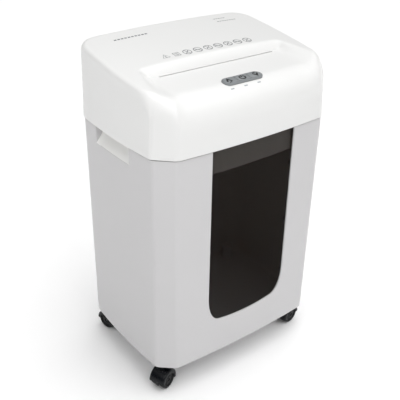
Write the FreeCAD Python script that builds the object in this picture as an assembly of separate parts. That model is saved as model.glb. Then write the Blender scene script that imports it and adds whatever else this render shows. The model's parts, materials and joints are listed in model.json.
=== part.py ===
"""Paper shredder on castors: a lift-off cutting head on a bin with a smoked window.

Millimetres. X is the machine's width, the front faces -Y, +Z is up, and the origin is on the
floor under the middle of the machine. Each function returns one node, and NODES lists them all.
"""
import FreeCAD
import Part
import os
from math import acos, atan2, cos, pi, radians, sin, sqrt, tan

V = FreeCAD.Vector

# Whole machine
WIDTH = 360.0
DEPTH = 257.5
SEAM_Z = 458.4               # lower edge of the head
DECK_Z = 565.0               # height of the top deck at y = 0
DECK_SLOPE = 0.131           # the deck rises towards the back
# Plan outline: bowed front and sides, cut front corners, round back corners
CORNER_X, CORNER_Y = 33.0, 25.0
FRONT_BOW, SIDE_BOW = 6.0, 4.0
CORNER_R, BACK_R = 12.0, 38.0
BOW_SHARE = 0.88             # the share of a bowed side that its arc takes up
HEAD_DRAFT = 4.0             # the head is this much narrower at the top, each side
HEAD_WALL = 2.6
FRONT_ROUND, SIDE_ROUND = 32.0, 9.0
# Shallow recess in the deck that leads the paper to the slot
SLOT_Y, SLOT_GAP, SLOT_LENGTH = -28.0, 5.0, 226.0
RECESS_BACK_Y, RECESS_HALF, RECESS_R = -25.0, 128.0, 24.0
RECESS_Z = 552.0             # at the foot of its back wall
RECESS_NOSE_R, LIP_R = 45.0, 8.0
# Bin
BIN_INSET, BIN_WALL, BIN_FLOOR = 2.0, 3.0, 3.5
BIN_Z, BIN_TOP = 55.0, 457.4
BIN_ROUND = 9.0
GRIP_Y0, GRIP_Y1, GRIP_Z = -39.0, 59.0, 428.0
GRIP_DEPTH = 16.0
WINDOW_HALF, WINDOW_Z = 83.0, 127.0
PANE_T, PANE_LIP = 2.2, 10.0
BASE_PANEL = (110.0, 70.0, 3.0)      # half width, half depth, drop below the bin's floor
# Castors
WHEEL_R, WHEEL_W, WEB_T = 17.0, 10.5, 6.0
TRAIL, STEM_R, AXLE_R = 13.0, 5.5, 3.0
RUN = 0.05                   # radial running clearance
CASTORS = {                  # stem x, stem y, heading of the trail in degrees
    "fl": (-140.0, -81.0, 200.0),
    "fr": (140.0, -81.0, 8.0),
    "bl": (-140.0, 100.0, 105.0),
    "br": (140.0, 100.0, 60.0),
}
# Head's lower housing, which hangs in the bin
TRAY_INSET, TRAY_SIDE, TRAY_WALL, TRAY_Z = 9.0, 22.0, 2.5, 416.0
MOUTH_HALF, MOUTH_Y0, MOUTH_Y1 = 118.0, -72.0, 18.0
# Cutting unit
PLATE_X, PLATE_T = 125.0, 3.0
CUT_Z, CUT_FRONT_Y, CUT_REAR_Y = 475.0, -46.0, -8.0
SHAFT_R, DISC_R, SPACER_R = 8.0, 21.0, 16.5
DISC_T, DISC_PITCH, DISC_COUNT = 3.8, 8.0, 27
BUSH_R = 11.0
# Gear train: module, teeth
SYNC, FINAL, IDLER_SMALL = (1.9, 20), (1.5, 46), (1.5, 14)
IDLER_LARGE, MOTOR_PINION = (1.0, 56), (1.0, 14)
ADDENDUM, DEDENDUM, BACKLASH = 0.8, 1.15, 0.10
PRESSURE = radians(20)
IDLER_YZ = (CUT_REAR_Y + 36.0, CUT_Z + 27.0)
MOTOR_YZ = (IDLER_YZ[0] + 28.0, IDLER_YZ[1] - 21.0)
MOTOR_R, MOTOR_L = 30.0, 130.0
GEARBOX_X = 164.0
TIE_RODS = [(-78.0, 438.0), (98.0, 438.0), (8.0, 512.0)]     # y, z
INTERLOCK_XY, PLUNGER_R = (146.0, 62.0), 3.2
# Control panel on the recess
PANEL_Y, PANEL_TILT = -86.0, 8.5
PANEL_L, PANEL_W, PANEL_RISE = 76.0, 20.0, 1.6
KEYS_L, KEYS_W, KEY_SPLIT, KEY_GAP = 72.0, 16.0, 12.0, 0.6   # the three keys fill one pill
KEY_CLEAR, KEY_FLANGE = 0.4, 1.0
LED_PITCH, LED_L, LED_W, LED_Y = 26.0, 4.6, 1.6, -16.3
BOARD_X0, BOARD_X1, BOARD_Y0, BOARD_Y1, BOARD_Z = -112.0, -30.0, 36.0, 90.0, 436.0


def box(x0, y0, z0, x1, y1, z1):
    return Part.makeBox(x1 - x0, y1 - y0, z1 - z0, V(x0, y0, z0))


def rod_x(radius, x0, x1, y, z):
    return Part.makeCylinder(radius, x1 - x0, V(x0, y, z), V(1, 0, 0))


def tube_x(outer, inner, x0, x1, y, z):
    return rod_x(outer, x0, x1, y, z).cut(rod_x(inner, x0 - 1, x1 + 1, y, z))


def fuse(shapes):
    return shapes[0].fuse(shapes[1:]).removeSplitter()


def group(shapes):
    """Separate solids that share one node."""
    return Part.Compound(shapes)


def rounded_wire(corners, z):
    """A closed wire at height z through (x, y, radius) corners, each rounded by a tangent arc."""
    edges, cuts = [], []
    count = len(corners)
    for i, (x, y, radius) in enumerate(corners):
        here = V(x, y, z)
        back = V(*corners[i - 1][:2], z) - here
        ahead = V(*corners[(i + 1) % count][:2], z) - here
        back.normalize()
        ahead.normalize()
        half = back.getAngle(ahead) / 2
        reach = radius / tan(half)
        middle = (back + ahead).normalize() * (radius / sin(half) - radius)
        cuts.append((here + back * reach, here + middle, here + ahead * reach))
    for i, (start, middle, end) in enumerate(cuts):
        edges.append(Part.Arc(start, middle, end).toShape())
        edges.append(Part.LineSegment(end, cuts[(i + 1) % count][0]).toShape())
    return Part.Wire(edges)


def bow_corner(half, bow):
    """How far out a bowed side's middle corner lies, and the radius that bends the side from it."""
    return 2 * bow * BOW_SHARE, half * half / (2 * bow)


def plan(z, side=0.0, front=0.0, back=0.0, corner=0.0):
    """The machine's plan outline, pulled in by side, front and back, and corner at the cut corners."""
    x_side = WIDTH / 2 - SIDE_BOW - side
    x_front = WIDTH / 2 - CORNER_X - side * 0.6 - corner
    y_front = -DEPTH / 2 + FRONT_BOW + front
    y_side = y_front + CORNER_Y - front * 0.2 + corner
    y_back = DEPTH / 2 - back
    radius = max(BACK_R - max(side, back), 8.0)
    y_mid = (y_side + y_back - radius) / 2
    tip, tip_r = bow_corner(x_front, FRONT_BOW)
    bulge, bulge_r = bow_corner(y_mid - y_side, SIDE_BOW)
    return rounded_wire([
        (-x_front, y_front, CORNER_R),
        (0, y_front - tip, tip_r),
        (x_front, y_front, CORNER_R),
        (x_side, y_side, CORNER_R),
        (x_side + bulge, y_mid, bulge_r),
        (x_side, y_back, radius),
        (-x_side, y_back, radius),
        (-x_side - bulge, y_mid, bulge_r),
        (-x_side, y_side, CORNER_R),
    ], z)


def sloped(wire):
    """Tilts a level wire to the deck's slope without changing its plan."""
    matrix = FreeCAD.Matrix()
    matrix.A32 = DECK_SLOPE
    return wire.transformGeometry(matrix)


def rounding(radius, depth):
    """How far a quarter-round edge of that radius is pulled in, at a depth below its top."""
    if depth >= radius:
        return 0.0
    return radius - sqrt(radius * radius - (radius - depth) ** 2)


def head_solid(inset=0.0):
    """The head's outer form, or its hollow when inset by the wall."""
    top = DECK_Z - inset

    def slice_at(depth):
        side = inset + HEAD_DRAFT * 0.9 + rounding(SIDE_ROUND, depth)
        front = inset + HEAD_DRAFT * 0.4 + rounding(FRONT_ROUND, depth)
        back = inset + HEAD_DRAFT * 0.4 + rounding(SIDE_ROUND, depth)
        return sloped(plan(top - depth, side, front, back, inset * 0.3))

    foot = plan(SEAM_Z, inset, inset, inset, inset * 0.3)
    depths = (FRONT_ROUND, 22, 14, SIDE_ROUND, 5, 2.2, 0.6, 0)
    return Part.makeLoft([foot] + [slice_at(depth) for depth in depths], True, True)


def recess_floor_z(y):
    return RECESS_Z + DECK_SLOPE * (y - RECESS_BACK_Y)


def recess_tool(grow=0.0):
    """The air over the recess: a pocket above the recess floor and its rounded nose."""
    top = DECK_Z + 60
    half = RECESS_HALF + grow
    outline = rounded_wire([(-half, -220, 5), (half, -220, 5), (half, RECESS_BACK_Y + grow, RECESS_R),
                            (-half, RECESS_BACK_Y + grow, RECESS_R)], 400)
    pocket = Part.Face(outline).extrude(V(0, 0, top - 400))
    # The floor's side view: a slope, then an arc that ends upright at the front
    radius = RECESS_NOSE_R
    tilt = atan2(DECK_SLOPE, 1.0)
    y_nose = -DEPTH / 2 - 2.0
    y_axis = y_nose + radius
    y_end = y_axis - radius * sin(tilt)
    z_end = recess_floor_z(y_end)
    z_axis = z_end - radius * cos(tilt)
    y_back = RECESS_BACK_Y + 60
    turn = pi / 4 + tilt / 2
    drop = -grow
    start = V(0, y_back, recess_floor_z(y_back) + drop)
    bend = V(0, y_end, z_end + drop)
    middle = V(0, y_axis - radius * sin(turn), z_axis + radius * cos(turn) + drop)
    foot = V(0, y_nose, z_axis + drop)
    corner = V(0, y_nose - 60, z_axis + drop)
    upper = V(0, y_nose - 60, top + 60)
    back = V(0, y_back, top + 60)
    edges = [Part.LineSegment(start, bend).toShape(), Part.Arc(bend, middle, foot).toShape()]
    path = [foot, corner, upper, back, start]
    edges += [Part.LineSegment(a, b).toShape() for a, b in zip(path, path[1:])]
    air = Part.Face(Part.Wire(edges)).extrude(V(400, 0, 0))
    air.translate(V(-200, 0, 0))
    return pocket.common(air)


def panel_place(shape):
    """Puts a shape built flat around the origin on the control panel's spot of the recess."""
    shape.rotate(V(0, 0, 0), V(1, 0, 0), PANEL_TILT)
    shape.translate(V(0, PANEL_Y, recess_floor_z(PANEL_Y)))
    return shape


def pill(length, width, z0, z1):
    half, radius = length / 2, width / 2
    wire = rounded_wire([(-half, -radius, radius * 0.98), (half, -radius, radius * 0.98),
                         (half, radius, radius * 0.98), (-half, radius, radius * 0.98)], z0)
    return Part.Face(wire).extrude(V(0, 0, z1 - z0))


def led_bar(k, z0, z1, grow=0.0):
    x, half_l, half_w = k * LED_PITCH, LED_L / 2 + grow, LED_W / 2 + grow
    return box(x - half_l, LED_Y - half_w, z0, x + half_l, LED_Y + half_w, z1)


def cover_posts():
    return [(x, y) for x in (-145.0, 145.0) for y in (-76.0, 90.0)]


def rounded_lip(head):
    """Rounds the back edge of the recess, where the deck drops to the slot."""
    straight = RECESS_HALF - RECESS_R
    air = box(-straight, RECESS_BACK_Y - 0.5, RECESS_Z - 4, straight, RECESS_BACK_Y + LIP_R, DECK_Z + 5)
    axis = V(-straight - 1, RECESS_BACK_Y + LIP_R, RECESS_Z + 0.6)
    bar = Part.makeCylinder(LIP_R, 2 * straight + 2, axis, V(1, 0, 0))
    return head.cut(air.cut(bar).cut(box(-200, -100, 0, 200, 100, RECESS_Z + 0.6)))


def top_cover():
    shell = rounded_lip(head_solid().cut(recess_tool()))
    hollow = head_solid(HEAD_WALL).cut(recess_tool(HEAD_WALL))
    hollow.translate(V(0, 0, -0.01))
    shell = shell.cut(hollow).cut(box(-170, -115, SEAM_Z - 5, 170, 115, SEAM_Z + 2))
    half = SLOT_LENGTH / 2
    slot = box(-half, SLOT_Y - SLOT_GAP / 2, 500, half, SLOT_Y + SLOT_GAP / 2, 600)
    shell = shell.cut(slot)
    shell = shell.cut(panel_place(pill(PANEL_L + 0.4, PANEL_W + 0.4, -20, 20)))
    for k in (-1, 0, 1):
        shell = shell.cut(panel_place(led_bar(k, -20, 20, 0.1)))
    posts = []
    for x, y in cover_posts():
        post = Part.makeCylinder(5, 130, V(x, y, SEAM_Z + 4))
        post = post.cut(Part.makeCylinder(1.6, 18, V(x, y, SEAM_Z)))
        posts.append(post.common(head_solid(HEAD_WALL - 0.5)))
    gland_hole = Part.makeCylinder(8.2, 30, V(-110, 100, 490), V(0, 1, 0))
    return fuse([shell.cut(gland_hole)] + posts)


def tray_wire(z, extra=0.0):
    inset = TRAY_INSET + extra
    return plan(z, TRAY_SIDE + extra, inset, inset, inset * 0.3)


def lower_housing():
    """The tray under the works. Its rim sits on the bin's edge, inside the cover's lower edge."""
    outer = Part.Face(tray_wire(TRAY_Z)).extrude(V(0, 0, SEAM_Z + 6 - TRAY_Z))
    inner = Part.Face(tray_wire(TRAY_Z + TRAY_WALL, TRAY_WALL)).extrude(V(0, 0, 80))
    tray = outer.cut(inner)
    rim_in = HEAD_WALL + 0.5
    rim = Part.Face(plan(SEAM_Z - 0.6, rim_in, rim_in, rim_in, 1)).extrude(V(0, 0, 2.0))
    tray = tray.fuse(rim.cut(inner))
    tray = tray.cut(box(-MOUTH_HALF, MOUTH_Y0, TRAY_Z - 5, MOUTH_HALF, MOUTH_Y1, TRAY_Z + 10))
    bosses = [Part.makeCylinder(5, SEAM_Z + 3.6 - TRAY_Z, V(x, y, TRAY_Z)) for x, y in cover_posts()]
    seats = [box(s * PLATE_X - 12, y, TRAY_Z, s * PLATE_X + 12, y + 12, 429.7)
             for s in (-1, 1) for y in (-90.0, 96.0)]
    posts = [Part.makeCylinder(3, 19.7, V(x, y, TRAY_Z)) for x, y in board_posts()]
    tray = fuse([tray] + bosses + seats + posts)
    for x, y in cover_posts():
        tray = tray.cut(Part.makeCylinder(1.9, 100, V(x, y, TRAY_Z - 5)))
        tray = tray.cut(Part.makeCylinder(3.6, 30, V(x, y, TRAY_Z - 1)))
    return tray.cut(Part.makeCylinder(PLUNGER_R + 0.1, 20, V(*INTERLOCK_XY, TRAY_Z - 5)))


def cover_screws():
    screws = []
    for x, y in cover_posts():
        head = Part.makeCylinder(3.2, 3, V(x, y, TRAY_Z + 25.9))
        screws.append(head.fuse(Part.makeCylinder(1.55, 30, V(x, y, TRAY_Z + 28.9))))
    return group(screws)


def bin_solid(z0, z1, extra=0.0):
    inset = BIN_INSET + extra
    return Part.Face(plan(z0, inset, inset, inset, extra * 0.3)).extrude(V(0, 0, z1 - z0))


def front_y(inset):
    return -DEPTH / 2 + inset


def window_outline(half, z_low, z_high, rise):
    """The window's front view: straight sides, a soft lower edge, and elliptical lower corners."""
    y = -200.0
    corner = half * 0.32
    tall = corner * 1.9
    left, right = V(-half, y, z_high), V(half, y, z_high)
    left_low, right_low = V(-half, y, z_low + tall + rise), V(half, y, z_low + tall + rise)
    left_in, right_in = V(-half + corner, y, z_low + rise), V(half - corner, y, z_low + rise)

    def bend(a, corner_point, b):
        curve = Part.BezierCurve()
        poles = [p + (corner_point - p) * 0.62 for p in (a, b)]
        curve.setPoles([a, *poles, b])
        return curve.toShape()

    edges = [
        Part.LineSegment(right, left).toShape(),
        Part.LineSegment(left, left_low).toShape(),
        bend(left_low, V(-half + 1.5, y, z_low + rise + 2), left_in),
        Part.Arc(left_in, V(0, y, z_low), right_in).toShape(),
        bend(right_in, V(half - 1.5, y, z_low + rise + 2), right_low),
        Part.LineSegment(right_low, right).toShape(),
    ]
    return Part.Face(Part.Wire(edges)).extrude(V(0, 150, 0))


def grip_pocket(side, grow=0.0):
    """The air of a finger recess in the bin's side, open outwards and up to the rim."""
    x_out, x_in = WIDTH / 2 + 10, WIDTH / 2 - GRIP_DEPTH - grow
    low, high = GRIP_Z - grow, BIN_TOP + 10
    profile = [V(x_out, 0, low - 6), V(x_in + 4, 0, low + 8), V(x_in, 0, low + 16), V(x_in, 0, high),
               V(x_out, 0, high), V(x_out, 0, low - 6)]
    face = Part.Face(Part.makePolygon(profile))
    air = face.extrude(V(0, GRIP_Y1 - GRIP_Y0 + 2 * grow, 0))
    air.translate(V(0, GRIP_Y0 - grow, 0))
    return air if side > 0 else air.mirror(V(0, 0, 0), V(1, 0, 0))


def cabinet_shell():
    outer = bin_solid(BIN_Z, BIN_TOP)
    outer = outer.makeFillet(BIN_ROUND, [e for e in outer.Edges if e.BoundBox.ZMax < BIN_Z + 0.1])
    inner = bin_solid(BIN_Z + BIN_FLOOR, BIN_TOP + 5, BIN_WALL)
    inner = inner.makeFillet(BIN_ROUND - 3, [e for e in inner.Edges
                                             if e.BoundBox.ZMax < BIN_Z + BIN_FLOOR + 0.1])
    skin = outer.cut(inner)
    pockets = [grip_pocket(s, BIN_WALL).common(outer).cut(grip_pocket(s)) for s in (-1, 1)]
    half_x, half_y, drop = BASE_PANEL
    base = box(-half_x, -half_y, BIN_Z - drop, half_x, half_y, BIN_Z + 1)
    sockets = [Part.makeCylinder(STEM_R + 5, 30, V(x, y, BIN_Z + 0.5)) for x, y, _ in CASTORS.values()]
    x, y = INTERLOCK_XY
    ledge = box(x - 6, y - 7, 402, WIDTH / 2 - 5, y + 7, TRAY_Z - 6.5)
    skin = fuse([skin, base, ledge] + pockets + sockets)
    for s in (-1, 1):
        skin = skin.cut(grip_pocket(s))
    for x, y, _ in CASTORS.values():
        skin = skin.cut(Part.makeCylinder(STEM_R + 2.55, 27, V(x, y, BIN_Z - 1)))
    return skin.cut(window_outline(WINDOW_HALF, WINDOW_Z, BIN_TOP + 10, 4.0))


def window_panel():
    """The smoked pane lies against the inside of the bin's front and follows its bow."""
    out = bin_solid(100, BIN_TOP - 3, BIN_WALL + 0.1)
    back = bin_solid(90, BIN_TOP + 10, BIN_WALL + 0.1 + PANE_T)
    outline = window_outline(WINDOW_HALF + PANE_LIP, WINDOW_Z - PANE_LIP, BIN_TOP + 10, 4.0)
    return out.cut(back).common(outline)


def window_clips():
    """Six screws with wide heads hold the pane's edge to the bin's front wall."""
    clips = []
    for s in (-1, 1):
        for z in (170.0, 280.0, 390.0):
            y = front_y(BIN_INSET + BIN_WALL + PANE_T + 0.8)
            y += FRONT_BOW * ((WINDOW_HALF + 5) / (WIDTH / 2 - CORNER_X)) ** 2
            clips.append(Part.makeCylinder(4.0, 2.5, V(s * (WINDOW_HALF + 5), y, z), V(0, 1, 0)))
    return group(clips)


def castor_sockets():
    sockets = []
    for x, y, _ in CASTORS.values():
        sleeve = Part.makeCylinder(STEM_R + 2.5, 25, V(x, y, BIN_Z))
        sockets.append(sleeve.cut(Part.makeCylinder(STEM_R + RUN, 23, V(x, y, BIN_Z - 1))))
    return group(sockets)


def castor_place(shape, name):
    x, y, heading = CASTORS[name]
    shape.rotate(V(0, 0, 0), V(0, 0, 1), heading)
    shape.translate(V(x, y, 0))
    return shape


def castor_hood(name):
    """The hood over the wheels, with the web between them and the stem. Built at the origin."""
    reach = WEB_T / 2 + WHEEL_W + 1.2
    axis = V(TRAIL, -reach, WHEEL_R)
    roof = Part.makeCylinder(WHEEL_R + 4.0, 2 * reach, axis, V(0, 1, 0))
    roof = roof.cut(Part.makeCylinder(WHEEL_R + 1.4, 2 * reach + 2, axis - V(0, 1, 0), V(0, 1, 0)))
    roof = roof.cut(box(-60, -40, -20, 60, 40, WHEEL_R - 4))
    roof = roof.cut(box(TRAIL + 8, -40, -20, 60, 40, WHEEL_R + 9))
    web = Part.makeCylinder(WHEEL_R + 2.0, WEB_T, V(TRAIL, -WEB_T / 2, WHEEL_R), V(0, 1, 0))
    web = web.cut(box(-60, -40, -20, 60, 40, WHEEL_R - 12))
    neck = Part.makeCylinder(STEM_R + 4.5, 26, V(0, 0, BIN_Z - 28))
    neck = neck.cut(Part.makeCylinder(WHEEL_R + 2.0, 80, V(TRAIL, -40, WHEEL_R), V(0, 1, 0)))
    stem = Part.makeCylinder(STEM_R, 24, V(0, 0, BIN_Z - 4))
    hood = fuse([roof, web, neck, stem])
    hood = hood.cut(Part.makeCylinder(AXLE_R + RUN, 60, V(TRAIL, -30, WHEEL_R), V(0, 1, 0)))
    return castor_place(hood, name)


def castor_wheels(name):
    wheels = []
    for side in (-1, 1):
        y0 = WEB_T / 2 + 0.6 if side > 0 else -WEB_T / 2 - 0.6 - WHEEL_W
        wheel = Part.makeCylinder(WHEEL_R, WHEEL_W, V(TRAIL, y0, WHEEL_R), V(0, 1, 0))
        wheel = wheel.makeFillet(1.6, [e for e in wheel.Edges if e.Length > 60])
        dish_y = y0 + WHEEL_W - 2 if side > 0 else y0 - 1
        wheel = wheel.cut(Part.makeCylinder(WHEEL_R - 5, 3, V(TRAIL, dish_y, WHEEL_R), V(0, 1, 0)))
        wheels.append(wheel.cut(Part.makeCylinder(AXLE_R, 60, V(TRAIL, -30, WHEEL_R), V(0, 1, 0))))
    return castor_place(group(wheels), name)


def castor_axle(name):
    half = WEB_T / 2 + 0.6 + WHEEL_W - 2.4
    return castor_place(Part.makeCylinder(AXLE_R, 2 * half, V(TRAIL, -half, WHEEL_R), V(0, 1, 0)), name)


def throat(side):
    """One of the two guides under the slot: a sheet that leans in to the cutters."""
    y0 = SLOT_Y + side * (SLOT_GAP / 2 + 0.1)
    y1 = y0 + side * 2.0
    half = SLOT_LENGTH / 2 + 1
    top = recess_floor_z(SLOT_Y) - HEAD_WALL - 0.6
    low = CUT_Z + 22.0
    sheet = box(-half, min(y0, y1), low, half, max(y0, y1), top)
    ears = [box(s * (PLATE_X - 0.3) - (12 if s > 0 else 0), min(y0, y0 + side * 10), low + 6,
                s * (PLATE_X - 0.3) + (0 if s > 0 else 12), max(y0, y0 + side * 10), low + 9)
            for s in (-1, 1)]
    shape = fuse([sheet] + ears)
    if side > 0:
        shape = shape.cut(box(-6, SLOT_Y, low - 1, 6, SLOT_Y + 12, low + 14))
    return shape


def side_plate(side):
    x0 = PLATE_X if side > 0 else -PLATE_X - PLATE_T
    outline = [(-86, 430), (106, 430), (106, 470), (92, 520), (-62, 520), (-86, 490)]
    wire = Part.makePolygon([V(x0, y, z) for y, z in outline + outline[:1]])
    plate = Part.Face(wire).extrude(V(PLATE_T, 0, 0))
    for y in (CUT_FRONT_Y, CUT_REAR_Y):
        plate = plate.cut(rod_x(BUSH_R, x0 - 1, x0 + 5, y, CUT_Z))
    if side > 0:
        plate = plate.cut(rod_x(4.0 + RUN, x0 - 1, x0 + 5, *IDLER_YZ))
        plate = plate.cut(rod_x(9.0, x0 - 1, x0 + 5, *MOTOR_YZ))
        for dy in (-20, 20):
            plate = plate.cut(rod_x(2.1, x0 - 1, x0 + 5, MOTOR_YZ[0] + dy, MOTOR_YZ[1]))
    for y, z in TIE_RODS:
        plate = plate.cut(rod_x(3.0, x0 - 1, x0 + 5, y, z))
    return plate


def tie_rods():
    rods = []
    for y, z in TIE_RODS:
        body = rod_x(4.0, -PLATE_X, PLATE_X, y, z)
        rods.append(body.fuse(rod_x(2.95, -PLATE_X - 6, PLATE_X + 6, y, z)))
    return group(rods)


def gearbox_plate():
    plate = box(GEARBOX_X, -40, SEAM_Z + 3, GEARBOX_X + 2.5, 84, 530)
    corners = ((-34, 514), (78, 514), (78, 471))
    legs = [rod_x(4.0, PLATE_X + PLATE_T, GEARBOX_X, y, z) for y, z in corners]
    plate = fuse([plate] + legs)
    plate = plate.cut(rod_x(4.0 + RUN, GEARBOX_X - 1, GEARBOX_X + 5, *IDLER_YZ))
    return plate.cut(rod_x(SHAFT_R - 2 + RUN, GEARBOX_X - 1, GEARBOX_X + 5, CUT_REAR_Y, CUT_Z))


def cutter_bushes():
    bushes = []
    for x in (-PLATE_X - PLATE_T, PLATE_X):
        for y in (CUT_FRONT_Y, CUT_REAR_Y):
            bushes.append(tube_x(BUSH_R, SHAFT_R + RUN, x, x + PLATE_T, y, CUT_Z))
    return group(bushes)


def cutter_shaft(front):
    y = CUT_FRONT_Y if front else CUT_REAR_Y
    shaft = rod_x(SHAFT_R, -144, 130 if front else 146, y, CUT_Z)
    if not front:
        shaft = shaft.fuse(rod_x(SHAFT_R - 2, 146, GEARBOX_X + 2, y, CUT_Z)).removeSplitter()
    return shaft


def disc_starts(front):
    first = -DISC_PITCH * DISC_COUNT / 2 + (0 if front else DISC_PITCH / 2)
    return [first + DISC_PITCH * k for k in range(DISC_COUNT)]


def cutter_disc(x, y):
    """A cutting disc with four hooked teeth, as one outline of arcs and notches."""
    edges = []
    step = pi / 2
    notch = 0.22

    def point(radius, angle):
        return V(x, y + radius * cos(angle), CUT_Z + radius * sin(angle))

    for k in range(4):
        start = k * step
        end = start + step - notch
        deep = point(DISC_R - 3.0, end + notch * 0.25)
        edges.append(Part.Arc(point(DISC_R, start), point(DISC_R, (start + end) / 2),
                              point(DISC_R, end)).toShape())
        edges.append(Part.LineSegment(point(DISC_R, end), deep).toShape())
        edges.append(Part.LineSegment(deep, point(DISC_R, start + step)).toShape())
    disc = Part.Face(Part.Wire(edges)).extrude(V(DISC_T, 0, 0))
    return disc.cut(rod_x(SHAFT_R, x - 1, x + DISC_T + 1, y, CUT_Z))


def cutter_discs(front):
    y = CUT_FRONT_Y if front else CUT_REAR_Y
    return group([cutter_disc(x, y) for x in disc_starts(front)])


def cutter_spacers(front):
    y = CUT_FRONT_Y if front else CUT_REAR_Y
    gap = DISC_PITCH - DISC_T
    return group([tube_x(SPACER_R - 4, SHAFT_R, x + DISC_T, x + DISC_T + gap, y, CUT_Z)
                  for x in disc_starts(front)[:-1]])


def stripper_comb(front):
    """A bar with a finger between each two discs, which lifts the cut paper off the shaft."""
    y, out = (CUT_FRONT_Y, -1) if front else (CUT_REAR_Y, 1)
    bar_y = sorted((y + out * 23.0, y + out * 26.0))
    bar = box(-PLATE_X + 0.2, bar_y[0], CUT_Z - 6, PLATE_X - 0.2, bar_y[1], CUT_Z + 6)
    tip = sorted((y + out * (SPACER_R - 2.5), y + out * 23.5))
    width = DISC_PITCH - DISC_T - 1.2
    fingers = [box(x + DISC_T + 0.6, tip[0], CUT_Z - 4, x + DISC_T + 0.6 + width, tip[1], CUT_Z + 4)
               for x in disc_starts(front)[:-1]]
    return fuse([bar] + fingers)


def involute(angle):
    return tan(angle) - angle


def gear(spec, x0, x1, centre, tooth_at, bore):
    """A spur gear along X. spec is (module, teeth), and one tooth's middle is at angle tooth_at."""
    module, teeth = spec
    pitch_r = module * teeth / 2
    base_r = pitch_r * cos(PRESSURE)
    root_r, tip_r = pitch_r - DEDENDUM * module, pitch_r + ADDENDUM * module
    half_pitch = (pi / 2 - BACKLASH) / teeth + involute(PRESSURE)
    y, z = centre

    def half_angle(radius):
        return half_pitch - involute(acos(min(base_r / radius, 1.0)))

    def point(radius, angle):
        return V(x0, y + radius * cos(angle), z + radius * sin(angle))

    radii = [root_r, max(base_r, root_r + 0.01), pitch_r, tip_r]
    outline = []
    for k in range(teeth):
        middle = tooth_at + 2 * pi * k / teeth
        outline += [point(r, middle - half_angle(max(r, base_r))) for r in radii]
        outline += [point(r, middle + half_angle(max(r, base_r))) for r in reversed(radii)]
    wheel = Part.Face(Part.makePolygon(outline + outline[:1])).extrude(V(x1 - x0, 0, 0))
    return wheel.cut(rod_x(bore, x0 - 1, x1 + 1, y, z))


def sync_gear(front):
    """The pair on the left that turns the front shaft against the rear one."""
    centre = (CUT_FRONT_Y if front else CUT_REAR_Y, CUT_Z)
    tooth_at = 0.0 if front else pi + pi / SYNC[1]
    return gear(SYNC, -142, -131, centre, tooth_at, SHAFT_R)


def direction(start, end):
    return atan2(end[1] - start[1], end[0] - start[0])


def final_gear():
    centre = (CUT_REAR_Y, CUT_Z)
    return gear(FINAL, 132, 145, centre, direction(centre, IDLER_YZ), SHAFT_R)


def idler_gear():
    """Moulded in one piece: a small gear for the cutters and a large one for the motor."""
    facing = direction(IDLER_YZ, (CUT_REAR_Y, CUT_Z))
    small = gear(IDLER_SMALL, 131.5, 148, IDLER_YZ, facing + pi / IDLER_SMALL[1], 4.0)
    large = gear(IDLER_LARGE, 148, 158, IDLER_YZ, direction(IDLER_YZ, MOTOR_YZ), 4.0)
    return fuse([small, large])


def idler_shaft():
    return rod_x(4.0, PLATE_X - 2, GEARBOX_X + 4.5, *IDLER_YZ)


def motor_can():
    can = rod_x(MOTOR_R, PLATE_X - 0.3 - MOTOR_L, PLATE_X - 0.3, *MOTOR_YZ)
    can = can.makeFillet(3, [e for e in can.Edges if e.Length > 100])
    tail = rod_x(10, PLATE_X - MOTOR_L - 10, PLATE_X + 0.5 - MOTOR_L, *MOTOR_YZ)
    can = fuse([can, tail])
    can = can.cut(rod_x(2.5 + RUN, PLATE_X - 25, PLATE_X + 5, *MOTOR_YZ))
    for dy in (-20, 20):
        can = can.cut(rod_x(1.7, PLATE_X - 10, PLATE_X + 5, MOTOR_YZ[0] + dy, MOTOR_YZ[1]))
    return can


def motor_screws():
    screws = []
    for dy in (-20, 20):
        y, z = MOTOR_YZ[0] + dy, MOTOR_YZ[1]
        head = rod_x(3.6, PLATE_X + PLATE_T, PLATE_X + PLATE_T + 2.2, y, z)
        screws.append(head.fuse(rod_x(1.65, PLATE_X - 8, PLATE_X + PLATE_T, y, z)))
    return group(screws)


def motor_shaft():
    return rod_x(2.5, PLATE_X - 23, 159, *MOTOR_YZ)


def motor_pinion():
    facing = direction(MOTOR_YZ, IDLER_YZ)
    return gear(MOTOR_PINION, 148.5, 158.5, MOTOR_YZ, facing + pi / MOTOR_PINION[1], 2.5)


def panel_bezel():
    """The frame round the keys. Its skirt goes through the cover."""
    bezel = pill(PANEL_L, PANEL_W, -HEAD_WALL + 0.4, PANEL_RISE)
    skirt = pill(PANEL_L - 1, PANEL_W - 1, -6, PANEL_RISE - 1)
    hole = pill(KEYS_L + 2 * KEY_CLEAR, KEYS_W + 2 * KEY_CLEAR, -10, 10)
    return panel_place(bezel.fuse(skirt).cut(hole))


def key(k):
    """A press key: a cap in the bezel, a flange that keeps it in, and a plunger for its switch."""
    x0 = -KEY_SPLIT + KEY_GAP / 2 if k == 0 else KEY_SPLIT + KEY_GAP / 2
    x1 = KEY_SPLIT - KEY_GAP / 2 if k == 0 else KEYS_L
    span = box(x0, -KEYS_W, -20, x1, KEYS_W, 20)
    if k < 0:
        span = span.mirror(V(0, 0, 0), V(1, 0, 0))
    cap = pill(KEYS_L, KEYS_W, -7.8, PANEL_RISE + 0.6).common(span)
    cap = cap.makeFillet(0.5, [e for e in cap.Edges if e.BoundBox.ZMin > PANEL_RISE])
    flange = pill(KEYS_L + 2 * KEY_FLANGE, KEYS_W + 2 * KEY_FLANGE, -7.8, -6.5).common(span)
    plunger = Part.makeCylinder(2.0, 1.5, V(k * 2 * KEY_SPLIT, 0, -9.0))
    return panel_place(fuse([cap, flange, plunger]))


def status_leds():
    """Three small light bars below the panel."""
    return group([panel_place(led_bar(k, -HEAD_WALL, 0.4)) for k in (-1, 0, 1)])


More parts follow.
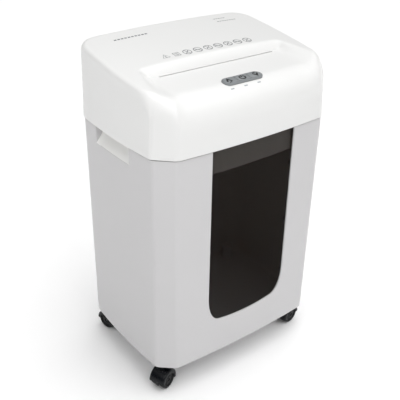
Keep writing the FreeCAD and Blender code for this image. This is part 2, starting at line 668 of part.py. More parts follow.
def key_board():
    board = box(-42, -13, -15.4, 42, 11, -13.8)
    return panel_place(board)


def key_switches():
    xs = [k * 2 * KEY_SPLIT for k in (-1, 0, 1)]
    return group([panel_place(box(x - 3, -3, -13.8, x + 3, 3, -10.1)) for x in xs])


def sensor_lever():
    """The flag that the paper pushes aside in the throat, on its own pivot pin."""
    pivot_z = CUT_Z + 32.0
    y = SLOT_Y + SLOT_GAP / 2 + 7.0
    hub = rod_x(2.5, -4, 4, y, pivot_z)
    pin = rod_x(1.2, -9, 9, y, pivot_z)
    flag = box(-1.5, y - 11.0, pivot_z - 4.2, 1.5, y, pivot_z - 2.2)
    tail = box(-1.5, y, pivot_z - 1, 1.5, y + 10, pivot_z + 1)
    return fuse([hub, pin, flag, tail])


def sensor_board():
    pivot_z = CUT_Z + 32.0
    y = SLOT_Y + SLOT_GAP / 2 + 7.0
    ears = [box(s * 7.5 - 1.2, y - 4.8, pivot_z - 4, s * 7.5 + 1.2, y + 20, pivot_z + 3) for s in (-1, 1)]
    base = box(-12, y + 14, pivot_z - 5, 12, y + 20, pivot_z - 3.4)
    block = fuse(ears + [base])
    return block.cut(rod_x(1.2 + RUN, -12, 12, y, pivot_z))


def control_board():
    return box(BOARD_X0, BOARD_Y0, BOARD_Z, BOARD_X1, BOARD_Y1, BOARD_Z + 1.6)


def board_parts():
    """Transformer, relay and capacitor on the control board."""
    z = BOARD_Z + 1.7
    return group([box(-106, 42, z, -74, 70, z + 24.3), box(-66, 46, z, -48, 60, z + 15.3),
                  Part.makeCylinder(8, 26, V(-50, 74, z))])


def board_posts():
    return [(x, y) for x in (BOARD_X0 + 4, BOARD_X1 - 4) for y in (BOARD_Y0 + 4, BOARD_Y1 - 4)]


def interlock_plunger():
    """The pin under the tray that the bin's ledge holds up, so the head runs only on its bin."""
    x, y = INTERLOCK_XY
    pin = Part.makeCylinder(PLUNGER_R, 18, V(x, y, TRAY_Z - 6))
    collar = Part.makeCylinder(5.0, 2.0, V(x, y, TRAY_Z + TRAY_WALL + 0.4))
    return fuse([pin, collar])


def interlock_switch():
    x, y = INTERLOCK_XY
    body = box(x - 7, y - 12, TRAY_Z + 14.6, x + 7, y + 10, TRAY_Z + 22.6)
    leg = box(x - 7, y + 6, TRAY_Z + TRAY_WALL, x + 7, y + 10, TRAY_Z + 14.6)
    return fuse([body, leg])


def cord_gland():
    """The bush in the back wall that a mains cord would pass through."""
    y0 = DEPTH / 2 - 8
    sleeve = Part.makeCylinder(8.0, 8, V(-110, y0, 490), V(0, 1, 0))
    flange = Part.makeCylinder(11.0, 2.5, V(-110, y0 - 2.5, 490), V(0, 1, 0))
    return fuse([sleeve, flange]).cut(Part.makeCylinder(3.8, 30, V(-110, y0 - 5, 490), V(0, 1, 0)))


NODES = {
    "cabinet_shell": cabinet_shell,
    "window_panel": window_panel,
    "window_clips": window_clips,
    "castor_sockets": castor_sockets,
    "top_cover": top_cover,
    "lower_housing": lower_housing,
    "cover_screws": cover_screws,
    "throat_front": lambda: throat(-1),
    "throat_rear": lambda: throat(1),
    "side_plate_left": lambda: side_plate(-1),
    "side_plate_right": lambda: side_plate(1),
    "gearbox_plate": gearbox_plate,
    "tie_rods": tie_rods,
    "cutter_bushes": cutter_bushes,
    "cutter_shaft_front": lambda: cutter_shaft(True),
    "cutter_discs_front": lambda: cutter_discs(True),
    "cutter_spacers_front": lambda: cutter_spacers(True),
    "sync_gear_front": lambda: sync_gear(True),
    "cutter_shaft_rear": lambda: cutter_shaft(False),
    "cutter_discs_rear": lambda: cutter_discs(False),
    "cutter_spacers_rear": lambda: cutter_spacers(False),
    "sync_gear_rear": lambda: sync_gear(False),
    "final_gear": final_gear,
    "stripper_comb_front": lambda: stripper_comb(True),
    "stripper_comb_rear": lambda: stripper_comb(False),
    "idler_shaft": idler_shaft,
    "idler_gear": idler_gear,
    "motor_can": motor_can,
    "motor_screws": motor_screws,
    "motor_shaft": motor_shaft,
    "motor_pinion": motor_pinion,
    "panel_bezel": panel_bezel,
    "key_reverse": lambda: key(-1),
    "key_power": lambda: key(0),
    "key_forward": lambda: key(1),
    "status_leds": status_leds,
    "key_board": key_board,
    "key_switches": key_switches,
    "sensor_lever": sensor_lever,
    "sensor_board": sensor_board,
    "control_board": control_board,
    "board_parts": board_parts,
    "interlock_plunger": interlock_plunger,
    "interlock_switch": interlock_switch,
    "cord_gland": cord_gland,
}
for castor in CASTORS:
    NODES[f"castor_{castor}_hood"] = lambda name=castor: castor_hood(name)
    NODES[f"castor_{castor}_wheels"] = lambda name=castor: castor_wheels(name)
    NODES[f"castor_{castor}_axle"] = lambda name=castor: castor_axle(name)

os.makedirs("parts", exist_ok=True)
for node, make in NODES.items():
    make().exportStep(f"parts/{node}.step")
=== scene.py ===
"""Paper shredder on castors, with a lift-off cutting head and a smoked window in its bin.

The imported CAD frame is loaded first. Each operator then makes one piece, or one group of like
pieces, in the frame's own coordinates. Lengths are millimetres until a mesh is made, except in the
sidebar's properties and in Geometry Nodes, where they are metres.
"""
import json
from math import acos, atan2, ceil, cos, pi, radians, sin, tan

import bmesh
import bpy
import numpy as np
from bpy.props import FloatProperty, FloatVectorProperty, IntProperty, PointerProperty, StringProperty
from mathutils import Matrix, Vector


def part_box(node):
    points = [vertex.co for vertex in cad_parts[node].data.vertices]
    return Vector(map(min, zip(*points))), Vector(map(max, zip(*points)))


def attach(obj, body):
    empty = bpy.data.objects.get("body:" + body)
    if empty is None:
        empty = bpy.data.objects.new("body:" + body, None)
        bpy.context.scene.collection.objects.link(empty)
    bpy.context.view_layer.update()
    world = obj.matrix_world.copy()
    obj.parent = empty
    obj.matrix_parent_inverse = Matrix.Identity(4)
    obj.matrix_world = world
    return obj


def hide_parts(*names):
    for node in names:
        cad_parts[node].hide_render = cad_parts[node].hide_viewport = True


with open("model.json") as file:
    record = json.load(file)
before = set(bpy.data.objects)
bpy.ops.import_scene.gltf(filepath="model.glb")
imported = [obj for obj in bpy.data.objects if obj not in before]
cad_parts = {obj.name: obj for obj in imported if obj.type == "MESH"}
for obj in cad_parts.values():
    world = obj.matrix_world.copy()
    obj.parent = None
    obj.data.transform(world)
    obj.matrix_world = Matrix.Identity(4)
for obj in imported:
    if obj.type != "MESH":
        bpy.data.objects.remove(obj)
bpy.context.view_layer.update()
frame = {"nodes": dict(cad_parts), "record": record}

bl_info = {
    "name": "Paper Shredder Builder",
    "version": (1, 0, 0),
    "blender": (4, 5, 0),
    "location": "View3D > Sidebar > Shredder",
    "description": "Builds a castor-mounted paper shredder round its CAD frame",
    "category": "Add Mesh",
}

MM = 0.001
LINKED = (bpy.types.Node, bpy.types.NodeSocket)


def node_box(name):
    """Lowest and highest corner of a CAD node, in millimetres."""
    low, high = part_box(name)
    return np.array(low) / MM, np.array(high) / MM


SEAM_Z = node_box("top_cover")[0][2]
BIN_LOW, BIN_TOP = (corner[2] for corner in node_box("cabinet_shell"))
WALL = 3.0
FLOOR_Z = BIN_LOW + WALL
# Plan outline that the head and the bin share
HALF_WIDTH, HALF_DEPTH = 180.0, 128.75
CORNER_X, CORNER_Y = 33.0, 25.0
FRONT_BOW, SIDE_BOW, BOW_SHARE = 6.0, 4.0, 0.88
CORNER_R, BACK_R = 12.0, 38.0
# Deck and its recess, which fades out over RECESS_END at each end and wider towards the front
DECK_Z, DECK_SLOPE, DECK_HALF = 565.0, 0.131, 170.0
CROWN_SHARE = 0.7
RECESS_Y, RECESS_Z = -25.0, 552.0
RECESS_HALF, RECESS_END, RECESS_DEPTH = 128.0, 17.0, 70.0
SLOT_Y, SLOT_LENGTH = -28.0, 226.0
PANEL_Y, PANEL_TILT = -86.0, radians(8.5)
KEY_BAR, KEY_ROUND = 36.0, 8.0
GLAND_SPOT, GLAND_R = (-110.0, 104.0, 490.0), 8.2
GRIP_Y0, GRIP_Y1, GRIP_Z = -39.0, 59.0, 428.0
STRIPS_Z = 194.0
CASTORS = {"fl": (-140.0, -81.0, 200.0), "fr": (140.0, -81.0, 8.0),
           "bl": (-140.0, 100.0, 105.0), "br": (140.0, 100.0, 60.0)}


def length(name, description, default):
    """A length that the sidebar shows, in metres."""
    return FloatProperty(name=name, description=description, default=default, unit="LENGTH", precision=4)


def colour(name, description, default):
    """A colour that the sidebar shows, as sRGB hex."""
    return StringProperty(name=name, description=description + ", sRGB hex", default=default)


class ShredderHead(bpy.types.PropertyGroup):
    edge_radius: length("Edge radius", "Rounding of the deck's side and back edges", 0.009)
    nose_reach: length("Nose reach", "How far back the front roll starts", 0.043)
    nose_drop: length("Nose drop", "How far down the front roll goes", 0.045)
    corner_reach: length("Corner reach", "How far in the roll starts at the cut corners", 0.024)
    corner_drop: length("Corner drop", "How far down the roll goes at the cut corners", 0.038)
    crown: length("Crown", "How much the deck bulges in the middle", 0.004)
    lip_reach: length("Lip reach", "Depth of the slope between deck and slot", 0.017)
    slot_gap: length("Slot gap", "Width of the paper slot", 0.0026)
    wall: length("Wall", "Thickness of the moulded cover", 0.0026)


class ShredderBin(bpy.types.PropertyGroup):
    wall: length("Wall", "Thickness of the bin's wall", 0.003)
    foot_radius: length("Foot radius", "Rounding of the lower edge", 0.009)
    lip_radius: length("Lip radius", "Softening of the window's and grips' edges", 0.0009)
    window_half: length("Window half width", "Half the width of the window", 0.083)
    window_low: length("Window lower edge", "Height of the window's lower edge", 0.127)


class ShredderCastor(bpy.types.PropertyGroup):
    wheel_radius: length("Wheel radius", "Radius of the tread", 0.017)
    wheel_width: length("Wheel width", "Width of one wheel", 0.0105)
    trail: length("Trail", "From the stem to the axle", 0.013)
    hood_gap: length("Hood gap", "Clear space between tread and hood", 0.0014)


class ShredderPanel(bpy.types.PropertyGroup):
    symbol_pitch: length("Symbol pitch", "Distance between the key symbols", 0.0265)
    symbol_size: length("Symbol size", "Height of a key symbol", 0.0112)
    stroke: length("Stroke", "Line width of a key symbol", 0.0026)


class ShredderMarks(bpy.types.PropertyGroup):
    count: IntProperty(name="Pictograms", description="How many pictograms are printed on the deck",
                       default=9, min=1)
    pitch: length("Pitch", "Distance between pictograms", 0.0204)
    size: length("Size", "Height of a pictogram", 0.0145)
    stroke: length("Stroke", "Printed line width", 0.0012)


class ShredderColours(bpy.types.PropertyGroup):
    head: colour("Head", "White of the head", "#E5E5E4")
    cabinet: colour("Bin", "White of the bin", "#CAC9CA")
    pane: colour("Pane", "Smoke brown of the pane", "#190F08")
    key: colour("Keys", "Grey of the keys", "#828688")
    castor: colour("Castors", "Black of the castors", "#0B0E13")
    mark: colour("Print", "Grey of the printed marks", "#787B7D")


class ShredderStage(bpy.types.PropertyGroup):
    camera: FloatVectorProperty(name="Camera", description="Where the camera stands", subtype="XYZ",
                                unit="LENGTH", default=(-0.6471, -0.8336, 0.8921))
    heading: FloatProperty(name="Heading", description="Camera turned from the Y axis", unit="ROTATION",
                           default=0.652)
    pitch: FloatProperty(name="Pitch", description="Camera tipped down", unit="ROTATION", default=0.518)
    roll: FloatProperty(name="Roll", description="Camera rolled", unit="ROTATION", default=0.019)
    lens: FloatProperty(name="Lens", description="Focal length", unit="CAMERA", default=60.9)


# Shared helpers ---------------------------------------------------------------------------------

def linear(text):
    """An sRGB hex colour as linear RGBA."""
    parts = [int(text[i:i + 2], 16) / 255 for i in (1, 3, 5)]
    return [c / 12.92 if c <= 0.04045 else ((c + 0.055) / 1.055) ** 2.4 for c in parts] + [1.0]


def add(tree, kind, inputs=(), **settings):
    """Adds a node, applies its settings, and sets or links its inputs by name or number.

    A node given as an input stands for its first output, and a list of nodes is linked in turn.
    """
    node = tree.nodes.new(kind)
    for key, value in settings.items():
        setattr(node, key, value)
    for key, value in dict(inputs).items():
        several = isinstance(value, list) and isinstance(value[0], LINKED)
        for source in value if several else [value]:
            if isinstance(source, LINKED):
                socket = source.outputs[0] if isinstance(source, bpy.types.Node) else source
                tree.links.new(socket, node.inputs[key])
            else:
                node.inputs[key].default_value = source
    return node


def piece(name, points, faces, sharp=35.0):
    """A mesh object from millimetre points, shaded smooth except over sharp edges."""
    mesh = bpy.data.meshes.new(name)
    mesh.from_pydata((np.asarray(points, float) * MM).tolist(), [], [tuple(f) for f in faces])
    bm = bmesh.new()
    bm.from_mesh(mesh)
    bmesh.ops.remove_doubles(bm, verts=bm.verts, dist=2e-6)
    bmesh.ops.recalc_face_normals(bm, faces=bm.faces)
    bm.to_mesh(mesh)
    bm.free()
    obj = bpy.data.objects.new(name, mesh)
    bpy.context.scene.collection.objects.link(obj)
    soften(obj, sharp)
    return obj


def soften(obj, sharp):
    """Smooth shading except over edges sharper than this many degrees."""
    obj.data.shade_smooth()
    obj.data.set_sharp_from_angle(angle=radians(sharp))


def bake(obj, sharp=35.0):
    """Turns an object's modifiers into its plain mesh."""
    graph = bpy.context.evaluated_depsgraph_get()
    mesh = bpy.data.meshes.new_from_object(obj.evaluated_get(graph))
    obj.modifiers.clear()
    old, obj.data = obj.data, mesh
    bpy.data.meshes.remove(old)
    obj.data.name = obj.name
    soften(obj, sharp)
    return obj


def modify(obj, kind, **settings):
    """Adds a modifier with its settings."""
    modifier = obj.modifiers.new(kind.title(), kind)
    for key, value in settings.items():
        setattr(modifier, key, value)
    return modifier


def merged(name, objects, sharp=35.0):
    """Several objects' meshes as one piece."""
    points, faces = [], []
    for obj in objects:
        start = len(points)
        points += [v.co / MM for v in obj.data.vertices]
        faces += [[start + i for i in p.vertices] for p in obj.data.polygons]
        bpy.data.objects.remove(obj)
    return piece(name, points, faces, sharp)


def carve(obj, tools, sharp=35.0):
    """Cuts closed tools out of a piece."""
    for tool in tools:
        modify(obj, "BOOLEAN", operation="DIFFERENCE", object=tool, solver="EXACT")
    bake(obj, sharp)
    for tool in tools:
        bpy.data.objects.remove(tool)
    return obj


def give(obj, material):
    """Gives a piece one material."""
    obj.data.materials.clear()
    obj.data.materials.append(material)
    return obj


def placed(obj, matrix):
    """Moves a piece's mesh, so that its object stays at the origin."""
    obj.data.transform(matrix)
    return obj


def at(x, y, z):
    """A move by millimetres."""
    return Matrix.Translation(Vector((x, y, z)) * MM)


def rod(radius, low, high):
    """Profile of a solid cylinder for turned."""
    return [(0.01, low), (radius, low), (radius, high), (0.01, high)]


def bar(name, low, high, width=0.0, segments=3):
    """A closed block between two corners, with its edges rounded by width."""
    (x0, y0, z0), (x1, y1, z1) = low, high
    points = [(x, y, z) for x in (x0, x1) for y in (y0, y1) for z in (z0, z1)]
    faces = [(0, 1, 3, 2), (4, 6, 7, 5), (0, 4, 5, 1), (2, 3, 7, 6), (0, 2, 6, 4), (1, 5, 7, 3)]
    obj = piece(name, points, faces)
    if width:
        modify(obj, "BEVEL", width=width * MM, segments=segments)
        bake(obj)
    return obj


def turned(name, profile, steps=48, sweep=2 * pi, start=0.0, sharp=35.0):
    """A closed (radius, height) profile turned about Z, with ends closed where it isn't a full turn."""
    count = len(profile)
    full = abs(sweep - 2 * pi) < 1e-6
    turns = steps if full else steps + 1
    points, faces = [], []
    for k in range(turns):
        angle = start + sweep * k / steps
        points += [(r * cos(angle), r * sin(angle), z) for r, z in profile]
    for k in range(steps):
        a, b = k * count, (k + 1) % turns * count
        for i in range(count):
            j = (i + 1) % count
            faces.append((a + i, a + j, b + j, b + i))
    if not full:
        faces += [list(range(count))[::-1], list(range(steps * count, (steps + 1) * count))]
    return piece(name, points, faces, sharp)


def prism(name, outline, z0, z1, sharp=35.0):
    """A closed block whose plan is a convex outline of (x, y) points."""
    count = len(outline)
    points = [(x, y, z) for z in (z0, z1) for x, y in outline]
    faces = [list(range(count))[::-1], list(range(count, 2 * count))]
    faces += [(i, (i + 1) % count, count + (i + 1) % count, count + i) for i in range(count)]
    return piece(name, points, faces, sharp)


def pill(half, radius, steps=20):
    """Outline of a bar with round ends."""
    turns = [(s, -pi / 2 + (0 if s > 0 else pi)) for s in (1, -1)]
    return [(s * (half - radius) + radius * cos(a + pi * k / steps), radius * sin(a + pi * k / steps))
            for s, a in turns for k in range(steps + 1)]


def stitch(first, second, faces, closed=True):
    """Quads between two loops of point numbers, the first one outside or below."""
    count = len(first)
    for i in range(count if closed else count - 1):
        j = (i + 1) % count
        faces.append((first[i], first[j], second[j], second[i]))


# Plan outline -----------------------------------------------------------------------------------

def plan_corners(side, front, back, radius_less):
    """Corners (x, y, radius) of the plan outline, pulled in by side, front and back."""
    x_side = HALF_WIDTH - SIDE_BOW - side
    x_front = HALF_WIDTH - CORNER_X - side * 0.6
    y_front = -HALF_DEPTH + FRONT_BOW + front
    y_side = y_front + CORNER_Y - front * 0.2
    y_back = HALF_DEPTH - back
    y_mid = (y_side + y_back - BACK_R + radius_less) / 2
    tip, bulge = 2 * FRONT_BOW * BOW_SHARE, 2 * SIDE_BOW * BOW_SHARE
    tip_r = x_front ** 2 / (2 * FRONT_BOW)
    bulge_r = (y_mid - y_side) ** 2 / (2 * SIDE_BOW)
    corner, round_back = CORNER_R - radius_less, BACK_R - radius_less
    return [(-x_front, y_front, corner), (0, y_front - tip, tip_r), (x_front, y_front, corner),
            (x_side, y_side, corner), (x_side + bulge, y_mid, bulge_r), (x_side, y_back, round_back),
            (-x_side, y_back, round_back), (-x_side - bulge, y_mid, bulge_r),
            (-x_side, y_side, corner)]


def arcs_of(corners, turn=radians(2.0), chord=3.0):
    """For each corner, its tangent arc as points and outward normals, going anticlockwise."""
    arcs = []
    for i, (x, y, radius) in enumerate(corners):
        here = np.array((x, y))
        back = np.array(corners[i - 1][:2]) - here
        ahead = np.array(corners[(i + 1) % len(corners)][:2]) - here
        back, ahead = back / np.linalg.norm(back), ahead / np.linalg.norm(ahead)
        half = acos(float(back @ ahead)) / 2
        middle = (back + ahead) / np.linalg.norm(back + ahead)
        centre = here + middle * radius / sin(half)
        first = here + back * radius / tan(half) - centre
        sweep = pi - 2 * half
        count = 2 * max(3, ceil(sweep / turn / 2), ceil(radius * sweep / chord / 2))
        angles = atan2(first[1], first[0]) + np.linspace(0, sweep, count + 1)
        normals = np.stack([np.cos(angles), np.sin(angles)], 1)
        arcs.append((centre + normals * radius, normals))
    return arcs


def chain(arcs, first, last):
    """The outline from the middle of one corner's arc to the middle of another's."""
    points, normals = [], []
    i = first
    while True:
        p, n = arcs[i]
        low = len(p) // 2 if i == first else 0
        high = len(p) // 2 + 1 if i == last else len(p)
        points.append(p[low:high])
        normals.append(n[low:high])
        if i == last:
            return np.concatenate(points), np.concatenate(normals)
        i = (i + 1) % len(arcs)


def sample(part, axis, targets):
    """Points and normals of an outline part where its x (axis 0) or y (axis 1) has these values."""
    points, normals = part
    order = np.argsort(points[:, axis], kind="stable")
    key = points[order, axis]
    place = np.stack([np.interp(targets, key, points[order, k]) for k in (0, 1)], 1)
    out = np.stack([np.interp(targets, key, normals[order, k]) for k in (0, 1)], 1)
    return place, out / np.linalg.norm(out, axis=1)[:, None]


def distance(points, line):
    """Distance in plan from each point to an open line of points."""
    best = np.full(len(points), 1e9)
    for a, b in zip(line, line[1:]):
        step = b - a
        t = np.clip(((points - a) @ step) / (step @ step), 0, 1)
        best = np.minimum(best, np.linalg.norm(points - a - t[:, None] * step, axis=1))
    return best


def spaced(*stops):
    """Values from stop to stop. Each stop after the first comes with the step that leads to it."""
    values = [stops[0]]
    for target, step in stops[1:]:
        count = max(1, round(abs(target - values[-1]) / step))
        values += list(np.linspace(values[-1], target, count + 1)[1:])
    return np.array(values)


def smooth(t):
    """An S-shaped rise from 0 to 1."""
    t = np.clip(t, 0, 1)
    return t * t * (3 - 2 * t)


# Head -------------------------------------------------------------------------------------------

def deck_height(x, y, crown):
    """Height of the deck, which slopes to the front and bulges in the middle by crown."""
    return DECK_Z + DECK_SLOPE * y + crown * (CROWN_SHARE - (x / DECK_HALF) ** 2)


def recess_height(y):
    """Height of the recess, which slopes as the deck does."""
    return RECESS_Z + DECK_SLOPE * (y - RECESS_Y)


def top_height(x, y, head):
    """Height of the deck and its recess, before the edges are rolled over."""
    high = deck_height(x, y, head.crown / MM)
    low = recess_height(y)
    # The recess has a crisp slope at its back and fades out over a growing width at its ends
    ahead = np.clip((RECESS_Y - y) / RECESS_DEPTH, 0, 1)
    across = np.maximum(np.abs(x) - (RECESS_HALF - 4.0 * ahead), 0) / (RECESS_END * (1 + 2 * ahead))
    behind = np.maximum(y - RECESS_Y, 0) / (head.lip_reach / MM)
    reach = np.clip(np.hypot(across, behind), 0, 1)
    share = across / (across + behind + 1e-6)
    rise = share * smooth(reach) + (1 - share) * (1 - (1 - reach) ** 1.8)
    return low + rise * (high - low)


def rolled(gone, reach, drop):
    """How far an edge has rolled down at a distance gone in from its outline."""
    t = 1 - np.clip(gone / reach, 0, 1)
    return drop * (1 - np.sqrt(1 - t * t))


def head_shell(head):
    """The cover's outer skin: a deck grid, rolled edge loops, and drafted walls down to the seam."""
    edge = head.edge_radius / MM
    inset = edge + 3.6
    arcs = arcs_of(plan_corners(inset, edge + 1.6, edge + 1.6, edge), radians(4))
    front, right, back = chain(arcs, 8, 3), chain(arcs, 3, 5), chain(arcs, 5, 6)
    x_far, y_near = front[0][-1]
    y_far = right[0][-1][1]
    # Grid lines, closer together where the recess and the rolled edges bend
    fine = spaced(0.0, (100, 4.0), (x_far - 28, 2.2), (x_far - 24, 0.8), (x_far - 2, 1.8), (x_far, 0.35))
    xs = np.concatenate([-fine[::-1], fine[1:]])
    ys = spaced(y_near, (y_near + 2, 0.35), (SLOT_Y - 6, 1.7), (SLOT_Y - 3, 1.0), (RECESS_Y, 1.0),
                (RECESS_Y + 19, 1.0), (y_far - 3, 4.0), (y_far, 1.0))
    side_x = sample(right, 1, ys)[0][:, 0]
    near_side = np.clip(1 - (x_far - np.abs(xs)) / 45.0, 0, 1)
    x_back = xs + np.sign(xs) * (side_x[-1] - x_far) * near_side
    edge_front, normal_front = sample(front, 0, xs)
    edge_back, normal_back = sample(back, 0, x_back)
    near_front = np.clip(1 - (ys - y_near) / 56.0, 0, 1)
    near_back = np.clip(1 - (y_far - ys) / 40.0, 0, 1)
    grid_x = xs[None, :] + np.sign(xs)[None, :] * (side_x - x_far)[:, None] * near_side[None, :]
    grid_y = (ys[:, None] + near_front[:, None] * (edge_front[:, 1] - y_near)[None, :]
              + near_back[:, None] * (edge_back[:, 1] - y_far)[None, :])
    rows, columns = grid_x.shape
    number = np.arange(rows * columns).reshape(rows, columns)
    loop = np.concatenate([number[0], number[1:, -1], number[-1, -2::-1], number[-2:0:-1, 0]])
    side_normal = sample(right, 1, ys)[1]
    mirrored = side_normal * np.array((-1, 1))
    normals = np.concatenate([normal_front, side_normal[1:], normal_back[-2::-1], mirrored[-2:0:-1]])
    inner = np.stack([grid_x.ravel(), grid_y.ravel()], 1)
    rim = inner[loop]
    # Outlines that the two kinds of rounding are measured from, run on straight past the corners
    run = 90.0
    nose = np.concatenate([p + n * edge for p, n in arcs[0:3]])
    cut = nose[0] - (arcs[8][0][-1] + arcs[8][1][-1] * edge)
    cut = cut / np.linalg.norm(cut)
    nose = np.concatenate([[nose[0] - cut * run], nose, [nose[-1] + cut * (-1, 1) * (-run)]])
    flank = np.concatenate([p + n * edge for p, n in arcs[4:8]])
    lean = (arcs[3][0][-1] + arcs[3][1][-1] * edge) - flank[0]
    lean = lean / np.linalg.norm(lean)
    flank = np.concatenate([[flank[0] + lean * run], flank, [flank[-1] + lean * (-1, 1) * run]])
    outer = rim + normals * edge
    slack = np.minimum(distance(outer, nose), distance(outer, flank))

    def skin(points, spare):
        """Heights of the skin at points. The edges' distances are less by spare."""
        x, y = points[:, 0], points[:, 1]
        blend = smooth((np.abs(x) - 112.0) / 46.0)
        reach = (head.nose_reach + (head.corner_reach - head.nose_reach) * blend) / MM
        drop = (head.nose_drop + (head.corner_drop - head.nose_drop) * blend) / MM
        z = top_height(x, y, head)
        z = z - rolled(np.maximum(distance(points, nose) - spare, 0), reach, drop)
        return z - rolled(np.maximum(distance(points, flank) - spare, 0), edge, edge)

    rings = []
    for angle in np.linspace(0, pi / 2, 13)[1:]:
        gone = edge * (1 - sin(angle))
        ring = rim + normals * (edge - gone)
        rings.append((ring, skin(ring, slack * (1 - gone / edge))))
    # Walls that lean out to a rounded lower edge at the seam
    top, lip = rings[-1][1], 1.0
    lean_out = 1.6 + 2.0 * np.abs(normals[:, 0])
    for share in (0.15, 0.35, 0.55, 0.75, 0.9):
        ring = outer + normals * (lean_out * share)[:, None]
        rings.append((ring, top + (SEAM_Z + lip - top) * share))
    for angle in np.linspace(0, pi / 2, 4):
        ring = outer + normals * (lean_out - lip + lip * cos(angle))[:, None]
        rings.append((ring, np.full(len(loop), SEAM_Z + lip - lip * sin(angle))))
    faces = []
    for lower, upper in zip(number, number[1:]):
        stitch(lower, upper, faces, closed=False)
    points = [np.column_stack([inner, skin(inner, 0.0)])]
    last = loop
    for k, (ring, z) in enumerate(rings):
        points.append(np.column_stack([ring, z]))
        here = rows * columns + k * len(loop) + np.arange(len(loop))
        stitch(here, last, faces)
        last = here
    return np.concatenate(points), faces


def on_panel(obj):
    """Moves a piece made flat round the origin to the control panel's spot on the recess."""
    spot = at(0, PANEL_Y, recess_height(PANEL_Y))
    return placed(obj, spot @ Matrix.Rotation(PANEL_TILT, 4, "X"))


class MakeHead(bpy.types.Operator):
    """Makes the moulded cover of the cutting head."""
    bl_idname = "shredder.make_head"
    bl_label = "Head Cover"

    def execute(self, context):
        head = context.scene.shredder_head
        points, faces = head_shell(head)
        cover = piece("head_cover", points, faces, 50.0)
        modify(cover, "SOLIDIFY", thickness=head.wall, offset=-1.0)
        bake(cover, 50.0)
        gap = head.slot_gap / MM / 2
        slot = prism("slot_tool", [(x, y + SLOT_Y) for x, y in pill(SLOT_LENGTH / 2, gap, 8)], 530, 575)
        well = on_panel(prism("well_tool", pill(KEY_BAR + 2.2, KEY_ROUND + 2.1), -12, 12))
        gland = turned("gland_tool", rod(GLAND_R, 0, 30), 32)
        placed(gland, at(*GLAND_SPOT) @ Matrix.Rotation(-pi / 2, 4, "X"))
        carve(cover, [slot, well, gland], 40.0)
        give(cover, bpy.data.materials["moulded_white_abs_head"])
        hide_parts("top_cover")
        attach(cover, "head")
        return {"FINISHED"}


# Bin --------------------------------------------------------------------------------------------

def window_curve(half, low, steps):
    """The window's lower edge from its left side, round the corners, to its right side."""
    corner = half * 0.32
    tall, rise = corner * 1.9, 4.0
    left = [np.array(p) for p in ((-half, low + tall + rise), (-half + 1.5, low + rise + 2),
                                  (-half + corner, low + rise))]
    poles = [left[0], left[0] + (left[1] - left[0]) * 0.62, left[2] + (left[1] - left[2]) * 0.62, left[2]]
    t = np.linspace(0, 1, 60)[:, None]
    bend = ((1 - t) ** 3 * poles[0] + 3 * t * (1 - t) ** 2 * poles[1] + 3 * t * t * (1 - t) * poles[2]
            + t ** 3 * poles[3])
    x = np.linspace(left[2][0], -left[2][0], 60)[1:-1]
    base = np.column_stack([x, low + rise * (x / left[2][0]) ** 2])
    path = np.concatenate([bend, base, bend[::-1] * (-1, 1)])
    along = np.concatenate([[0], np.cumsum(np.linalg.norm(np.diff(path, axis=0), axis=1))])
    at = np.linspace(0, along[-1], steps)
    return np.stack([np.interp(at, along, path[:, k]) for k in (0, 1)], 1)


